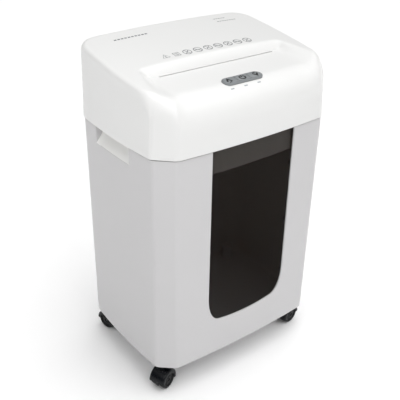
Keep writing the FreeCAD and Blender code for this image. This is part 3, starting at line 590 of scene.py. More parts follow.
def bin_shell(box):
    """The bin's outer skin: a front with a window, plain walls with a grip each, and a round foot."""
    arcs = arcs_of(plan_corners(2.0, 2.0, 2.0, 0.0), radians(6))
    foot = box.foot_radius / MM
    bend_z, high = FLOOR_Z + foot, BIN_TOP
    x_edge = arcs[1][0][-1][0] - 0.5
    xs = spaced(-x_edge, (x_edge, 4.0))
    front, front_normals = sample((arcs[1][0], arcs[1][1]), 0, xs)
    walls, wall_normals = wall_line(arcs, x_edge)
    zs = spaced(bend_z, (STRIPS_Z, 4.0), (GRIP_Z, 26.0), (high, 7.5))
    points, faces = [], []

    def put(rows):
        """Adds points and gives their numbers."""
        start = sum(len(r) for r in points)
        points.append(np.asarray(rows, float))
        return np.arange(start, start + len(rows))

    # Front: strips between the window's edge and the front's own edge
    tall = int(np.searchsorted(zs, STRIPS_Z - 0.1))
    half, sill = box.window_half / MM, box.window_low / MM
    outer = np.concatenate([np.column_stack([np.full(len(zs), -x_edge), zs[::-1]]),
                            np.column_stack([xs[1:-1], np.full(len(xs) - 2, bend_z)]),
                            np.column_stack([np.full(len(zs), x_edge), zs])])
    upper = zs[tall:]
    steps = len(outer) - 2 * len(upper) + 2
    curve = window_curve(half, sill, steps)
    inner = np.concatenate([np.column_stack([np.full(len(upper) - 1, -half), upper[:0:-1]]), curve,
                            np.column_stack([np.full(len(upper) - 1, half), upper[1:]])])
    last = None
    for share in (0.0, 0.08, 0.25, 0.5, 0.75, 1.0):
        flat = inner + (outer - inner) * share
        y = np.interp(flat[:, 0], front[:, 0], front[:, 1])
        here = put(np.column_stack([flat[:, 0], y, flat[:, 1]]))
        if last is not None:
            stitch(here, last, faces, closed=False)
        last = here
    # Walls, with a gap left for each grip
    last = None
    ends = {}
    for z in zs:
        here = put(np.column_stack([walls, np.full(len(walls), z)]))
        if last is not None:
            row = []
            stitch(last, here, row, closed=False)
            for k, face in enumerate(row):
                y = (walls[k][1] + walls[k + 1][1]) / 2
                gap = abs(walls[k][0]) > 170 and GRIP_Y0 < y < GRIP_Y1 and z > GRIP_Z + 0.1
                if not gap:
                    faces.append(face)
        last = here
        ends[round(float(z), 3)] = here
    for side in (-1, 1):
        pick = [k for k, (x, y) in enumerate(walls) if x * side > 170 and GRIP_Y0 - 0.01 < y < GRIP_Y1 + 0.01]
        profile = [(174.6, 431.4), (171.6, 435.0), (168.6, 439.0), (166.2, 443.0), (164.8, 446.0),
                   (164.2, 449.0), (164.0, high)]
        last = ends[round(GRIP_Z, 3)][pick]
        columns = [list(ends[round(float(z), 3)][[pick[0], pick[-1]]]) for z in zs if z >= GRIP_Z - 0.01]
        pocket = []
        for x, z in profile:
            here = put([(side * x, walls[k][1], z) for k in pick])
            stitch(last, here, faces, closed=False)
            pocket.append(here)
            last = here
        for end in (0, -1):
            faces.append([c[end] for c in columns] + [row[end] for row in pocket[::-1]])
    # Foot: rounded loops under everything, then a flat bottom
    ring = np.concatenate([front[:-1], walls[:-1]])
    normals = np.concatenate([front_normals[:-1], wall_normals[:-1]])
    last = put(np.column_stack([ring, np.full(len(ring), bend_z)]))
    for angle in np.linspace(0, pi / 2, 9)[1:]:
        inset = ring - normals * foot * (1 - cos(angle))
        here = put(np.column_stack([inset, np.full(len(ring), bend_z - foot * sin(angle))]))
        stitch(here, last, faces)
        last = here
    faces.append(list(last)[::-1])
    return np.concatenate(points), faces


def wall_line(arcs, x_edge):
    """The outline from the front's right end, round the back, to its left end, with the grips' ends."""
    front, out = sample(arcs[1], 0, np.array([x_edge]))
    points, normals = [front], [out]
    # The steps along the right side, corner 4, and the left side, corner 7, stop at the grips' ends
    grips = {4: ((GRIP_Y0, 12.0), (GRIP_Y1, 12.0), 6.0), 7: ((GRIP_Y1, 6.0), (GRIP_Y0, 12.0), 12.0)}
    for i in (2, 3, 4, 5, 6, 7, 8, 0):
        p, n = arcs[i]
        if i in grips:
            first, second, step = grips[i]
            p, n = sample((p, n), 1, spaced(p[0][1], first, second, (p[-1][1], step)))
        points.append(p)
        normals.append(n)
    points.append(front * (-1, 1))
    normals.append(out * (-1, 1))
    points, normals = np.concatenate(points), np.concatenate(normals)
    keep = np.concatenate([[True], np.linalg.norm(np.diff(points, axis=0), axis=1) > 0.01])
    return points[keep], normals[keep]


class MakeBin(bpy.types.Operator):
    """Makes the bin with its window opening, grips, and flat base."""
    bl_idname = "shredder.make_bin"
    bl_label = "Bin"

    def execute(self, context):
        box = context.scene.shredder_bin
        points, faces = bin_shell(box)
        shell = piece("bin_shell", points, faces)
        modify(shell, "SOLIDIFY", thickness=box.wall, offset=-1.0)
        modify(shell, "BEVEL", width=box.lip_radius, segments=2, limit_method="ANGLE",
               angle_limit=radians(38), use_clamp_overlap=True)
        bake(shell)
        base = bar("base_panel", (-110, -70, BIN_LOW), (110, 70, FLOOR_Z + 1.5), 0.8)
        x, y = 146.0, 62.0
        ledge = bar("interlock_ledge", (x - 6, y - 7, 402), (HALF_WIDTH - 4.5, y + 7, 409.5), 0.6)
        stem, outside, deep = 8.05, 10.5, 26.0
        cup = [(stem, 0), (outside, 0), (outside, deep + 4.5), (0.01, deep + 4.5), (0.01, deep), (stem, deep)]
        stems = [(cx, cy) for cx, cy, _ in CASTORS.values()]
        sockets = [placed(turned("socket", cup, 32), at(cx, cy, FLOOR_Z + 0.6)) for cx, cy in stems]
        holes = [placed(turned("hole", rod(stem, 0, 6), 32), at(cx, cy, FLOOR_Z - 2)) for cx, cy in stems]
        carve(shell, holes)
        shell = merged("bin_shell", [shell, base, ledge] + sockets)
        give(shell, bpy.data.materials["moulded_white_abs_bin"])
        # A second, whiter white goes on the up-facing faces of the grips' scoops: painted light on these
        # shaded hollows
        shell.data.materials.append(bpy.data.materials["painted_light_white_abs_grips"])
        for face in shell.data.polygons:
            x, y, z = face.center / MM
            brightened_scoop = face.normal.x * x > 0 and face.normal.z > 0.15
            if 163.5 < abs(x) < 177.5 and GRIP_Y0 - 1 < y < GRIP_Y1 + 1 and z > GRIP_Z and brightened_scoop:
                face.material_index = 1
        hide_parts("cabinet_shell")
        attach(shell, "cabinet")
        return {"FINISHED"}


# Castors ----------------------------------------------------------------------------------------

def about_axle(obj, castor):
    """Puts a piece turned about Z onto the axle, which runs along Y."""
    shift = Matrix.Translation((castor.trail, 0, castor.wheel_radius))
    return placed(obj, shift @ Matrix.Rotation(-pi / 2, 4, "X"))


def arc_points(centre, radius, start, end, steps=6):
    """Points of an arc from start to end degrees."""
    angles = np.linspace(radians(start), radians(end), steps + 1)
    return [(centre[0] + radius * cos(a), centre[1] + radius * sin(a)) for a in angles]


def castor_hood(castor):
    """The hood with its rolled shoulders, the web between the wheels, the neck and the stem."""
    tread = castor.wheel_radius / MM
    inner = tread + castor.hood_gap / MM
    outer, half = inner + 2.6, 3.0 + 0.6 + castor.wheel_width / MM + 1.5
    skirt, wall = tread - 3.2, 1.1
    arch = [(skirt, half), *arc_points((outer - 3.4, half - 3.4), 3.4, 90, 0), *arc_points(
        (outer - 3.4, -half + 3.4), 3.4, 0, -90), (skirt, -half), (skirt, -half + wall),
        *arc_points((inner - 1.0, -half + wall + 1.0), 1.0, -90, 0, 3),
        *arc_points((inner - 1.0, half - wall - 1.0), 1.0, 0, 90, 3), (skirt, half - wall)]
    # Turned about Z and laid on the axle: angle 0 points along +X and grows downwards
    roof = turned("roof", arch, 56, radians(192), radians(-196))
    web = turned("web", [(0.3, -2.9), (inner + 0.5, -2.9), (inner + 0.5, 2.9), (0.3, 2.9)], 56, radians(220),
                 radians(-200))
    about_axle(roof, castor)
    about_axle(web, castor)
    # Heights of the neck and stem are measured from the bin's floor
    neck = [(0.01, -23), (9.0, -23), (9.5, -17), (9.9, -10), *arc_points((8.6, -3.3), 1.3, 0, 90, 4),
            (5.5, -1.8), (5.5, 19), (4.8, 19.8), (0.01, 19.8)]
    return [roof, web, placed(turned("neck", neck, 36), at(0, 0, FLOOR_Z))]


def castor_wheels(castor):
    """Two moulded wheels with round-edged treads, dished faces and hub caps."""
    tread, width = castor.wheel_radius / MM, castor.wheel_width / MM
    wheels = []
    for side in (-1, 1):
        inner, outer = 3.6, 3.6 + width
        profile = [(3.0, inner), (tread - 2.2, inner), *arc_points((tread - 2.2, inner + 2.2), 2.2, -90, 0),
                   *arc_points((tread - 2.2, outer - 2.2), 2.2, 0, 90), (tread - 4.2, outer),
                   (tread - 5.2, outer - 1.7), (8.6, outer - 2.0), (7.4, outer - 0.7), (3.6, outer - 0.4),
                   (3.0, outer - 1.0)]
        wheels.append(about_axle(turned("wheel", [(r, side * z) for r, z in profile], 64), castor))
    return wheels


class MakeCastors(bpy.types.Operator):
    """Makes the four hooded twin-wheel castors."""
    bl_idname = "shredder.make_castors"
    bl_label = "Castors"

    def execute(self, context):
        castor = context.scene.shredder_castor
        for name, (x, y, heading) in CASTORS.items():
            place = at(x, y, 0) @ Matrix.Rotation(radians(heading), 4, "Z")
            hood = placed(merged(f"castor_hood_{name}", castor_hood(castor)), place)
            give(hood, bpy.data.materials["glossy_black_nylon"])
            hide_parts(f"castor_{name}_hood")
            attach(hood, f"swivel_{name}")
            wheels = placed(merged(f"castor_wheels_{name}", castor_wheels(castor)), place)
            give(wheels, bpy.data.materials["satin_black_tread"])
            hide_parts(f"castor_{name}_wheels")
            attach(wheels, f"wheels_{name}")
        return {"FINISHED"}


# Control panel ----------------------------------------------------------------------------------

def stroke(points, width, closed=False):
    """A printed line as a flat strip: outline points and faces, all at height 0."""
    line = [np.array(p, float) for p in points]
    count = len(line)
    out, faces = [], []
    for i, p in enumerate(line):
        before = line[i - 1] if closed or i else p
        after = line[(i + 1) % count] if closed or i < count - 1 else p
        if not closed and i == 0:
            before = p - (after - p)
        if not closed and i == count - 1:
            after = p + (p - before)
        a, b = (p - before) / np.linalg.norm(p - before), (after - p) / np.linalg.norm(after - p)
        normal = np.array((-(a + b)[1], (a + b)[0]))
        normal = normal / np.linalg.norm(normal)
        reach = width / 2 / max(0.35, float(normal @ np.array((-a[1], a[0]))))
        out += [p + normal * reach, p - normal * reach]
    for i in range(count if closed else count - 1):
        j = (i + 1) % count
        faces.append((2 * i, 2 * j, 2 * j + 1, 2 * i + 1))
    return out, faces


def printed(name, strokes, thick=0.06, base=0.0):
    """Printed strips as one thin closed piece."""
    objects = []
    for out, faces in strokes:
        count = len(out)
        points = [(x, y, z) for z in (base, base + thick) for x, y in out]
        shell = [tuple(f[::-1]) for f in faces] + [tuple(count + i for i in f) for f in faces]
        edges = {}
        for f in faces:
            for a, b in zip(f, f[1:] + f[:1]):
                edges[(a, b)] = edges.get((a, b), 0) + 1
        shell += [(a, b, count + b, count + a) for a, b in edges if (b, a) not in edges]
        objects.append(piece(name, points, shell))
    return merged(name, objects)


def key_symbol(k, panel):
    """Chevron up, power ring, or chevron down, in strokes round the origin."""
    size, width = panel.symbol_size / MM, panel.stroke / MM
    h = size / 2
    if k == 0:
        ring = arc_points((0, 0), h * 0.86, 125, 415, 28)
        return [stroke(ring, width), stroke([(0, h * 0.2), (0, h * 1.15)], width)]
    up = -k
    chevron = [(-h * 0.8, -h * 0.55 * up), (0, h * 0.75 * up), (h * 0.8, -h * 0.55 * up)]
    inner = [(-h * 0.42, -h * 0.95 * up), (h * 0.42, -h * 0.95 * up)]
    return [stroke(chevron, width * 1.15), stroke(inner, width * 0.9)]


def rounded_slab(name, outline, z0, z1, soft):
    """A prism with softened upper and lower edges."""
    obj = prism(name, outline, z0, z1)
    modify(obj, "BEVEL", width=soft * MM, segments=3, limit_method="ANGLE", angle_limit=radians(50))
    return bake(obj)


def key_outline(k):
    """Plan of one of the three keys, which together fill a bar with round ends."""
    split, gap = 12.0, 0.3
    if k == 0:
        x = split - gap
        return [(-x, -KEY_ROUND), (x, -KEY_ROUND), (x, KEY_ROUND), (-x, KEY_ROUND)]
    round_end = arc_points((KEY_BAR - KEY_ROUND, 0), KEY_ROUND, -90, 90, 20)
    outline = [(split + gap, -KEY_ROUND)] + round_end + [(split + gap, KEY_ROUND)]
    return outline if k > 0 else [(-x, y) for x, y in outline[::-1]]


def status_lights():
    """Three light bars in the cover in front of the keys, each laid on the cover's own slope."""
    cover = bpy.data.objects["head_cover"]
    pitch, shift, ahead = 26.0, -4.5, 15.0
    bars = []
    for k in (-1, 0, 1):
        above = Vector((k * pitch + shift, PANEL_Y - ahead, 600.0)) * MM
        hit, spot, normal, _ = cover.ray_cast(above, Vector((0, 0, -1)))
        if not hit:
            raise RuntimeError("no cover under a status light")
        slab = bar("light", (-3.2, -1.1, -0.6), (3.2, 1.1, 0.25), 0.2)
        turn = Vector((0, 0, 1)).rotation_difference(normal).to_matrix().to_4x4()
        bars.append(placed(slab, Matrix.Translation(spot) @ turn))
    return give(merged("status_lights", bars), bpy.data.materials["diffusing_light_guide"])


class MakePanel(bpy.types.Operator):
    """Makes the key frame, the three keys with their symbols, and the light bars."""
    bl_idname = "shredder.make_panel"
    bl_label = "Control Panel"

    def execute(self, context):
        panel = context.scene.shredder_panel
        grey = bpy.data.materials["satin_grey_pc_keys"]
        frame_ring = rounded_slab("key_frame", pill(KEY_BAR + 2, KEY_ROUND + 2), -6.0, 1.6, 0.7)
        carve(frame_ring, [prism("hole", pill(KEY_BAR + 0.4, KEY_ROUND + 0.4), -9, 9)])
        give(on_panel(frame_ring), grey)
        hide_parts("panel_bezel")
        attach(frame_ring, "head")
        lights = status_lights()
        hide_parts("status_leds")
        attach(lights, "head")
        for k, name in ((-1, "reverse"), (0, "power"), (1, "forward")):
            cap = rounded_slab("cap", key_outline(k), -6.8, 2.2, 0.45)
            flange = prism("flange", [(x * 1.014, y * 1.1) for x, y in key_outline(k)], -7.8, -6.9)
            plunger = placed(turned("plunger", rod(2, -9, -7.7), 24), at(k * 24, 0, 0))
            key = give(merged(f"key_cap_{name}", [cap, flange, plunger]), grey)
            sign = printed("symbol", key_symbol(k, panel), 0.08, 2.17)
            placed(sign, Matrix.Translation((k * panel.symbol_pitch, 0, 0)))
            give(sign, bpy.data.materials["dark_pad_print"])
            join(key, sign)
            on_panel(key)
            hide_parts(f"key_{name}")
            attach(key, f"{name}_key")
        return {"FINISHED"}


def join(target, other):
    """Adds another piece's mesh and material to a piece."""
    bm = bmesh.new()
    bm.from_mesh(target.data)
    first = len(bm.faces)
    bm.from_mesh(other.data)
    bm.faces.ensure_lookup_table()
    for face in list(bm.faces)[first:]:
        face.material_index = len(target.data.materials)
    bm.to_mesh(target.data)
    bm.free()
    target.data.materials.append(other.data.materials[0])
    bpy.data.objects.remove(other)


# Repeated pieces by Geometry Nodes --------------------------------------------------------------

def node_tree(name, inputs):
    """A Geometry Nodes tree with its output and named inputs, whose kind follows from the default."""
    tree = bpy.data.node_groups.new(name, "GeometryNodeTree")
    tree.interface.new_socket("Geometry", in_out="INPUT", socket_type="NodeSocketGeometry")
    kinds = {int: "NodeSocketInt", float: "NodeSocketFloat", tuple: "NodeSocketVector"}
    for label, default in inputs.items():
        socket = tree.interface.new_socket(label, in_out="INPUT", socket_type=kinds[type(default)])
        socket.default_value = default
    tree.interface.new_socket("Geometry", in_out="OUTPUT", socket_type="NodeSocketGeometry")
    return tree, add(tree, "NodeGroupInput").outputs


def finish_tree(tree, geometry, material):
    """Makes instances real, gives them their material, and ends the tree."""
    real = add(tree, "GeometryNodeRealizeInstances", {0: geometry})
    coated = add(tree, "GeometryNodeSetMaterial", {0: real, "Material": material})
    add(tree, "NodeGroupOutput", {0: coated})
    return tree


def grown(name, tree, values, points, sharp=35.0):
    """Runs a tree on an object that holds only points (millimetres), and keeps the plain mesh."""
    mesh = bpy.data.meshes.new(name)
    mesh.from_pydata((np.asarray(points, float) * MM).tolist(), [], [])
    obj = bpy.data.objects.new(name, mesh)
    bpy.context.scene.collection.objects.link(obj)
    modifier = obj.modifiers.new("Grow", "NODES")
    modifier.node_group = tree
    for item in tree.interface.items_tree:
        if item.item_type == "SOCKET" and item.in_out == "INPUT" and item.name in values:
            modifier[item.identifier] = values[item.name]
    return bake(obj, sharp)


def screw_tree(material):
    """A pan-head screw with a cross recess on every point, turned by the Turn input."""
    tree, sockets = node_tree("Pan Head Screws", {
        "Head Radius": 0.0032, "Head Height": 0.003, "Shank Radius": 0.0015, "Shank Length": 0.03,
        "Turn": (0.0, 0.0, 0.0)})
    height, reach = sockets["Head Height"], sockets["Shank Length"]
    half = add(tree, "ShaderNodeMath", {0: height, 1: -0.5}, operation="MULTIPLY")
    down = add(tree, "ShaderNodeCombineXYZ", {"Z": half})
    head = add(tree, "GeometryNodeMeshCylinder", {"Vertices": 28, "Radius": sockets["Head Radius"],
                                                  "Depth": height})
    head = add(tree, "GeometryNodeTransform", {0: head, "Translation": down})
    top = add(tree, "ShaderNodeVectorMath", {0: down, 1: down}, operation="ADD")
    slots = []
    for angle in (0.0, pi / 2):
        slot = add(tree, "GeometryNodeMeshCube", {"Size": (0.0034, 0.0007, 0.0018)})
        slots.append(add(tree, "GeometryNodeTransform", {0: slot, "Rotation": (0, 0, angle),
                                                         "Translation": top}))
    cross = add(tree, "GeometryNodeJoinGeometry", {0: slots})
    cut = add(tree, "GeometryNodeMeshBoolean", {0: head, 1: cross}, operation="DIFFERENCE")
    rise = add(tree, "ShaderNodeMath", {0: reach, 1: 0.5}, operation="MULTIPLY")
    up = add(tree, "ShaderNodeCombineXYZ", {"Z": rise})
    shank = add(tree, "GeometryNodeMeshCylinder", {"Vertices": 16, "Radius": sockets["Shank Radius"],
                                                   "Depth": reach})
    shank = add(tree, "GeometryNodeTransform", {0: shank, "Translation": up})
    screw = add(tree, "GeometryNodeJoinGeometry", {0: [cut, shank]})
    spread = add(tree, "GeometryNodeInstanceOnPoints", {0: sockets[0], "Instance": screw,
                                                        "Rotation": sockets["Turn"]})
    return finish_tree(tree, spread, material)


INK = 0.00006
DECK_INPUTS = {"Deck Height": DECK_Z * MM, "Slope": DECK_SLOPE, "Crown": 0.004}


def mark_tree(material):
    """A row of printed pictograms that lies on the crowned, sloping deck."""
    tree, sockets = node_tree("Deck Pictograms", {
        "Count": 9, "Pitch": 0.0204, "Size": 0.0145, "Stroke": 0.0012, **DECK_INPUTS})
    half = add(tree, "ShaderNodeMath", {0: sockets["Size"], 1: 0.5}, operation="MULTIPLY")
    pen = add(tree, "GeometryNodeCurvePrimitiveQuadrilateral", {"Width": sockets["Stroke"], "Height": INK})
    glyphs = []
    # Sides of the rim, its turn, the share of it that a slash spans, and each slash's turn and shift
    for sides, upright, share, slashes in (
            (3, pi / 2, 0.42, [(pi / 2, 0.0)]), (4, pi / 4, 0.42, [(0.0, 0.002), (0.0, -0.002)]),
            (28, 0.0, 0.9, [(0.8, 0.0), (2.0, 0.0)]), (28, 0.0, 0.9, [(2.3, 0.0), (0.0, 0.0)])):
        rim = add(tree, "GeometryNodeCurvePrimitiveCircle", {"Resolution": sides, "Radius": half})
        parts = [add(tree, "GeometryNodeTransform", {0: rim, "Rotation": (0, 0, upright)})]
        end = add(tree, "ShaderNodeMath", {0: half, 1: share}, operation="MULTIPLY")
        start = add(tree, "ShaderNodeMath", {0: end, 1: -1.0}, operation="MULTIPLY")
        a, b = [add(tree, "ShaderNodeCombineXYZ", {"X": x}) for x in (start, end)]
        for turn, shift in slashes:
            slash = add(tree, "GeometryNodeCurvePrimitiveLine", {"Start": a, "End": b})
            parts.append(add(tree, "GeometryNodeTransform", {0: slash, "Rotation": (0, 0, turn),
                                                             "Translation": (0, shift, 0)}))
        both = add(tree, "GeometryNodeJoinGeometry", {0: parts})
        glyphs.append(add(tree, "GeometryNodeCurveToMesh", {0: both, "Profile Curve": pen,
                                                            "Fill Caps": True}))
    span = add(tree, "ShaderNodeCombineXYZ", {"X": sockets["Pitch"]})
    row = add(tree, "GeometryNodeMeshLine", {"Count": sockets["Count"], "Offset": span})
    less = add(tree, "ShaderNodeMath", {0: sockets["Count"], 1: -1.0}, operation="ADD")
    width = add(tree, "ShaderNodeMath", {0: less, 1: sockets["Pitch"]}, operation="MULTIPLY")
    shift = add(tree, "ShaderNodeMath", {0: width, 1: -0.5}, operation="MULTIPLY")
    back = add(tree, "ShaderNodeCombineXYZ", {"X": shift})
    row = add(tree, "GeometryNodeTransform", {0: row, "Translation": back})
    # The first is a triangle, the second a square, and then two kinds of crossed ring take turns
    index = add(tree, "GeometryNodeInputIndex")
    parity = add(tree, "ShaderNodeMath", {0: index, 1: 2.0}, operation="MODULO")
    ring = add(tree, "ShaderNodeMath", {0: parity, 1: 2.0}, operation="ADD")
    kind = add(tree, "ShaderNodeMath", {0: index, 1: ring}, operation="MINIMUM")
    rows = []
    for k, glyph in enumerate(glyphs):
        chosen = add(tree, "FunctionNodeCompare", {0: kind, 1: float(k), "Epsilon": 0.1},
                     data_type="FLOAT", operation="EQUAL")
        rows.append(add(tree, "GeometryNodeInstanceOnPoints", {0: row, "Selection": chosen,
                                                               "Instance": glyph}))
    everything = add(tree, "GeometryNodeJoinGeometry", {0: rows})
    spread = add(tree, "GeometryNodeInstanceOnPoints", {0: sockets[0], "Instance": everything})
    return finish_tree(tree, laid_on_deck(tree, spread, sockets), material)


def laid_on_deck(tree, instances, sockets):
    """Lifts each point by the deck's height there: slope along y and crown across x."""
    real = add(tree, "GeometryNodeRealizeInstances", {0: instances})
    where = add(tree, "ShaderNodeSeparateXYZ", {0: add(tree, "GeometryNodeInputPosition")}).outputs
    rise = add(tree, "ShaderNodeMath", {0: where["Y"], 1: sockets["Slope"], 2: sockets["Deck Height"]},
               operation="MULTIPLY_ADD")
    across = add(tree, "ShaderNodeMath", {0: where["X"], 1: DECK_HALF * MM}, operation="DIVIDE")
    square = add(tree, "ShaderNodeMath", {0: across, 1: 2.0}, operation="POWER")
    bulge = add(tree, "ShaderNodeMath", {0: CROWN_SHARE, 1: square}, operation="SUBTRACT")
    height = add(tree, "ShaderNodeMath", {0: bulge, 1: sockets["Crown"], 2: rise},
                 operation="MULTIPLY_ADD")
    offset = add(tree, "ShaderNodeCombineXYZ", {"Z": height})
    return add(tree, "GeometryNodeSetPosition", {0: real, "Offset": offset})


def dash_tree(material):
    """Short printed dashes on points, laid on the deck. They stand where small print would be."""
    tree, sockets = node_tree("Printed Dashes", {"Dash Length": 0.004, "Stroke": 0.0012, **DECK_INPUTS})
    size = add(tree, "ShaderNodeCombineXYZ", {"X": sockets["Dash Length"], "Y": sockets["Stroke"],
                                              "Z": INK})
    dash = add(tree, "GeometryNodeMeshCube", {"Size": size})
    spread = add(tree, "GeometryNodeInstanceOnPoints", {0: sockets[0], "Instance": dash})
    return finish_tree(tree, laid_on_deck(tree, spread, sockets), material)


class MakeMarks(bpy.types.Operator):
    """Prints plain pictograms and dashes on the deck."""
    bl_idname = "shredder.make_marks"
    bl_label = "Printed Marks"

    def execute(self, context):
        scene = context.scene
        marks, head = scene.shredder_marks, scene.shredder_head
        ink = bpy.data.materials["grey_pad_print"]
        lift = 0.1
        deck = {"Deck Height": (DECK_Z + lift) * MM, "Slope": DECK_SLOPE, "Crown": head.crown}
        row = grown("deck_pictograms", mark_tree(ink), {
            "Count": marks.count, "Pitch": marks.pitch, "Size": marks.size, "Stroke": marks.stroke, **deck},
            [(3.3, 5.0, 0)])
        heading = [(x, 92.0, 0) for x in np.arange(-116.0, -56.0, 6.4)]
        notes = [(x, 101.0, 0) for x in np.arange(90.0, 112.0, 5.2)]
        notes += [(x, 89.5, 0) for x in np.arange(90.0, 129.0, 5.2)]
        tree = dash_tree(ink)
        title = grown("deck_heading", tree, {"Dash Length": 0.0044, "Stroke": 0.0034, **deck}, heading)
        small = grown("deck_notes", tree, {"Dash Length": 0.0040, "Stroke": 0.0015, **deck}, notes)
        for obj in (row, title, small):
            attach(obj, "head")
        return {"FINISHED"}


class MakeScrews(bpy.types.Operator):
    """Makes the screws of the pane, the cover and the motor."""
    bl_idname = "shredder.make_screws"
    bl_label = "Screws"

    def execute(self, context):
        tree = screw_tree(bpy.data.materials["zinc_plated_steel"])
        low, high = node_box("window_clips")
        clips = [(x, (low[1] + high[1]) / 2 + 1.2, z) for x in (low[0] + 4, high[0] - 4)
                 for z in (170, 280, 390)]
        low, high = node_box("cover_screws")
        covers = [(x, y, low[2]) for x in (low[0] + 3.2, high[0] - 3.2)
                  for y in (low[1] + 3.2, high[1] - 3.2)]
        m_low, m_high = node_box("motor_screws")
        motors = [(m_high[0], y, (m_low[2] + m_high[2]) / 2) for y in (m_low[1] + 3.6, m_high[1] - 3.6)]
        kits = (("pane_screws", "window_clips", "cabinet", clips, (4.0, 1.9, 1.4, 0.6), (pi / 2, 0, 0)),
                ("cover_screw_set", "cover_screws", "head", covers, (3.2, 2.9, 1.5, 29.0), (0, 0, 0)),
                ("motor_screw_set", "motor_screws", "head", motors, (3.6, 2.1, 1.6, 8.0), (0, -pi / 2, 0)))
        for name, node, body, points, sizes, turn in kits:
            up = sizes[1]
            ahead = {"window_clips": (0, 0, 0), "cover_screws": (0, 0, up), "motor_screws": (-up, 0, 0)}[node]
            spots = [tuple(np.add(p, ahead)) for p in points]
            values = dict(zip(("Head Radius", "Head Height", "Shank Radius", "Shank Length"),
                              [size * MM for size in sizes]))
            screws = grown(name, tree, {**values, "Turn": turn}, spots)
            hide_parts(node)
            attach(screws, body)
        return {"FINISHED"}


# Materials --------------------------------------------------------------------------------------

def surface(name, colour, roughness, grain=1.0, bump=0.0, mottle=0.03, gloss=0.06, **shader):
    """A Principled material whose colour, roughness and relief vary with noise of grain millimetres."""
    material = bpy.data.materials.new(name)
    material.use_nodes = True
    tree = material.node_tree
    tree.nodes.clear()
    place = add(tree, "ShaderNodeTexCoord").outputs["Object"]
    fine = add(tree, "ShaderNodeTexNoise", {"Vector": place, "Scale": 1 / (grain * MM), "Detail": 3.0})
    broad = add(tree, "ShaderNodeTexNoise", {"Vector": place, "Scale": 1 / (60 * MM), "Detail": 2.0})
    base = linear(colour)
    dark = [c * (1 - mottle) for c in base[:3]] + [1.0]
    tint = add(tree, "ShaderNodeMix", {"Factor": broad, 6: dark, 7: base}, data_type="RGBA").outputs[2]
    rough = add(tree, "ShaderNodeMapRange", {"Value": fine, "To Min": roughness - gloss,
                                             "To Max": roughness + gloss})
    principled = add(tree, "ShaderNodeBsdfPrincipled", {"Base Color": tint, "Roughness": rough, **shader})
    if bump:
        raised(tree, fine, bump)
    add(tree, "ShaderNodeOutputMaterial", {"Surface": principled})
    return material


def raised(tree, pattern, strength):
    """Gives a material's shader the relief of a pattern."""
    relief = add(tree, "ShaderNodeBump", {"Height": pattern, "Strength": strength, "Distance": 0.05 * MM})
    tree.links.new(relief.outputs[0], tree.nodes["Principled BSDF"].inputs["Normal"])


def brushed(name, colour, roughness, line, stretch):
    """A metal with fine machining lines, line millimetres apart and stretched along one axis."""
    material = surface(name, colour, roughness, gloss=0.08, mottle=0.08, Metallic=1.0)
    tree = material.node_tree
    place = add(tree, "ShaderNodeTexCoord").outputs["Object"]
    squeezed = add(tree, "ShaderNodeMapping", {"Vector": place, "Scale": stretch})
    lines = add(tree, "ShaderNodeTexNoise", {"Vector": squeezed, "Scale": 1 / (line * MM), "Detail": 2.0})
    raised(tree, lines, 0.25)
    return material


def circuit_laminate():
    """Glass-epoxy laminate under green mask: copper lands show through as paler tracks."""
    material = surface("green_mask_laminate", "#1E5A38", 0.35, grain=0.8)
    tree = material.node_tree
    place = add(tree, "ShaderNodeTexCoord").outputs["Object"]
    tracks = add(tree, "ShaderNodeTexBrick", {"Vector": place, "Color1": linear("#1B5233"),
                                              "Color2": linear("#22633E"), "Mortar": linear("#3C8A5C"),
                                              "Scale": 1 / (8 * MM), "Mortar Size": 0.03})
    tree.links.new(tracks.outputs["Color"], tree.nodes["Principled BSDF"].inputs["Base Color"])
    return material


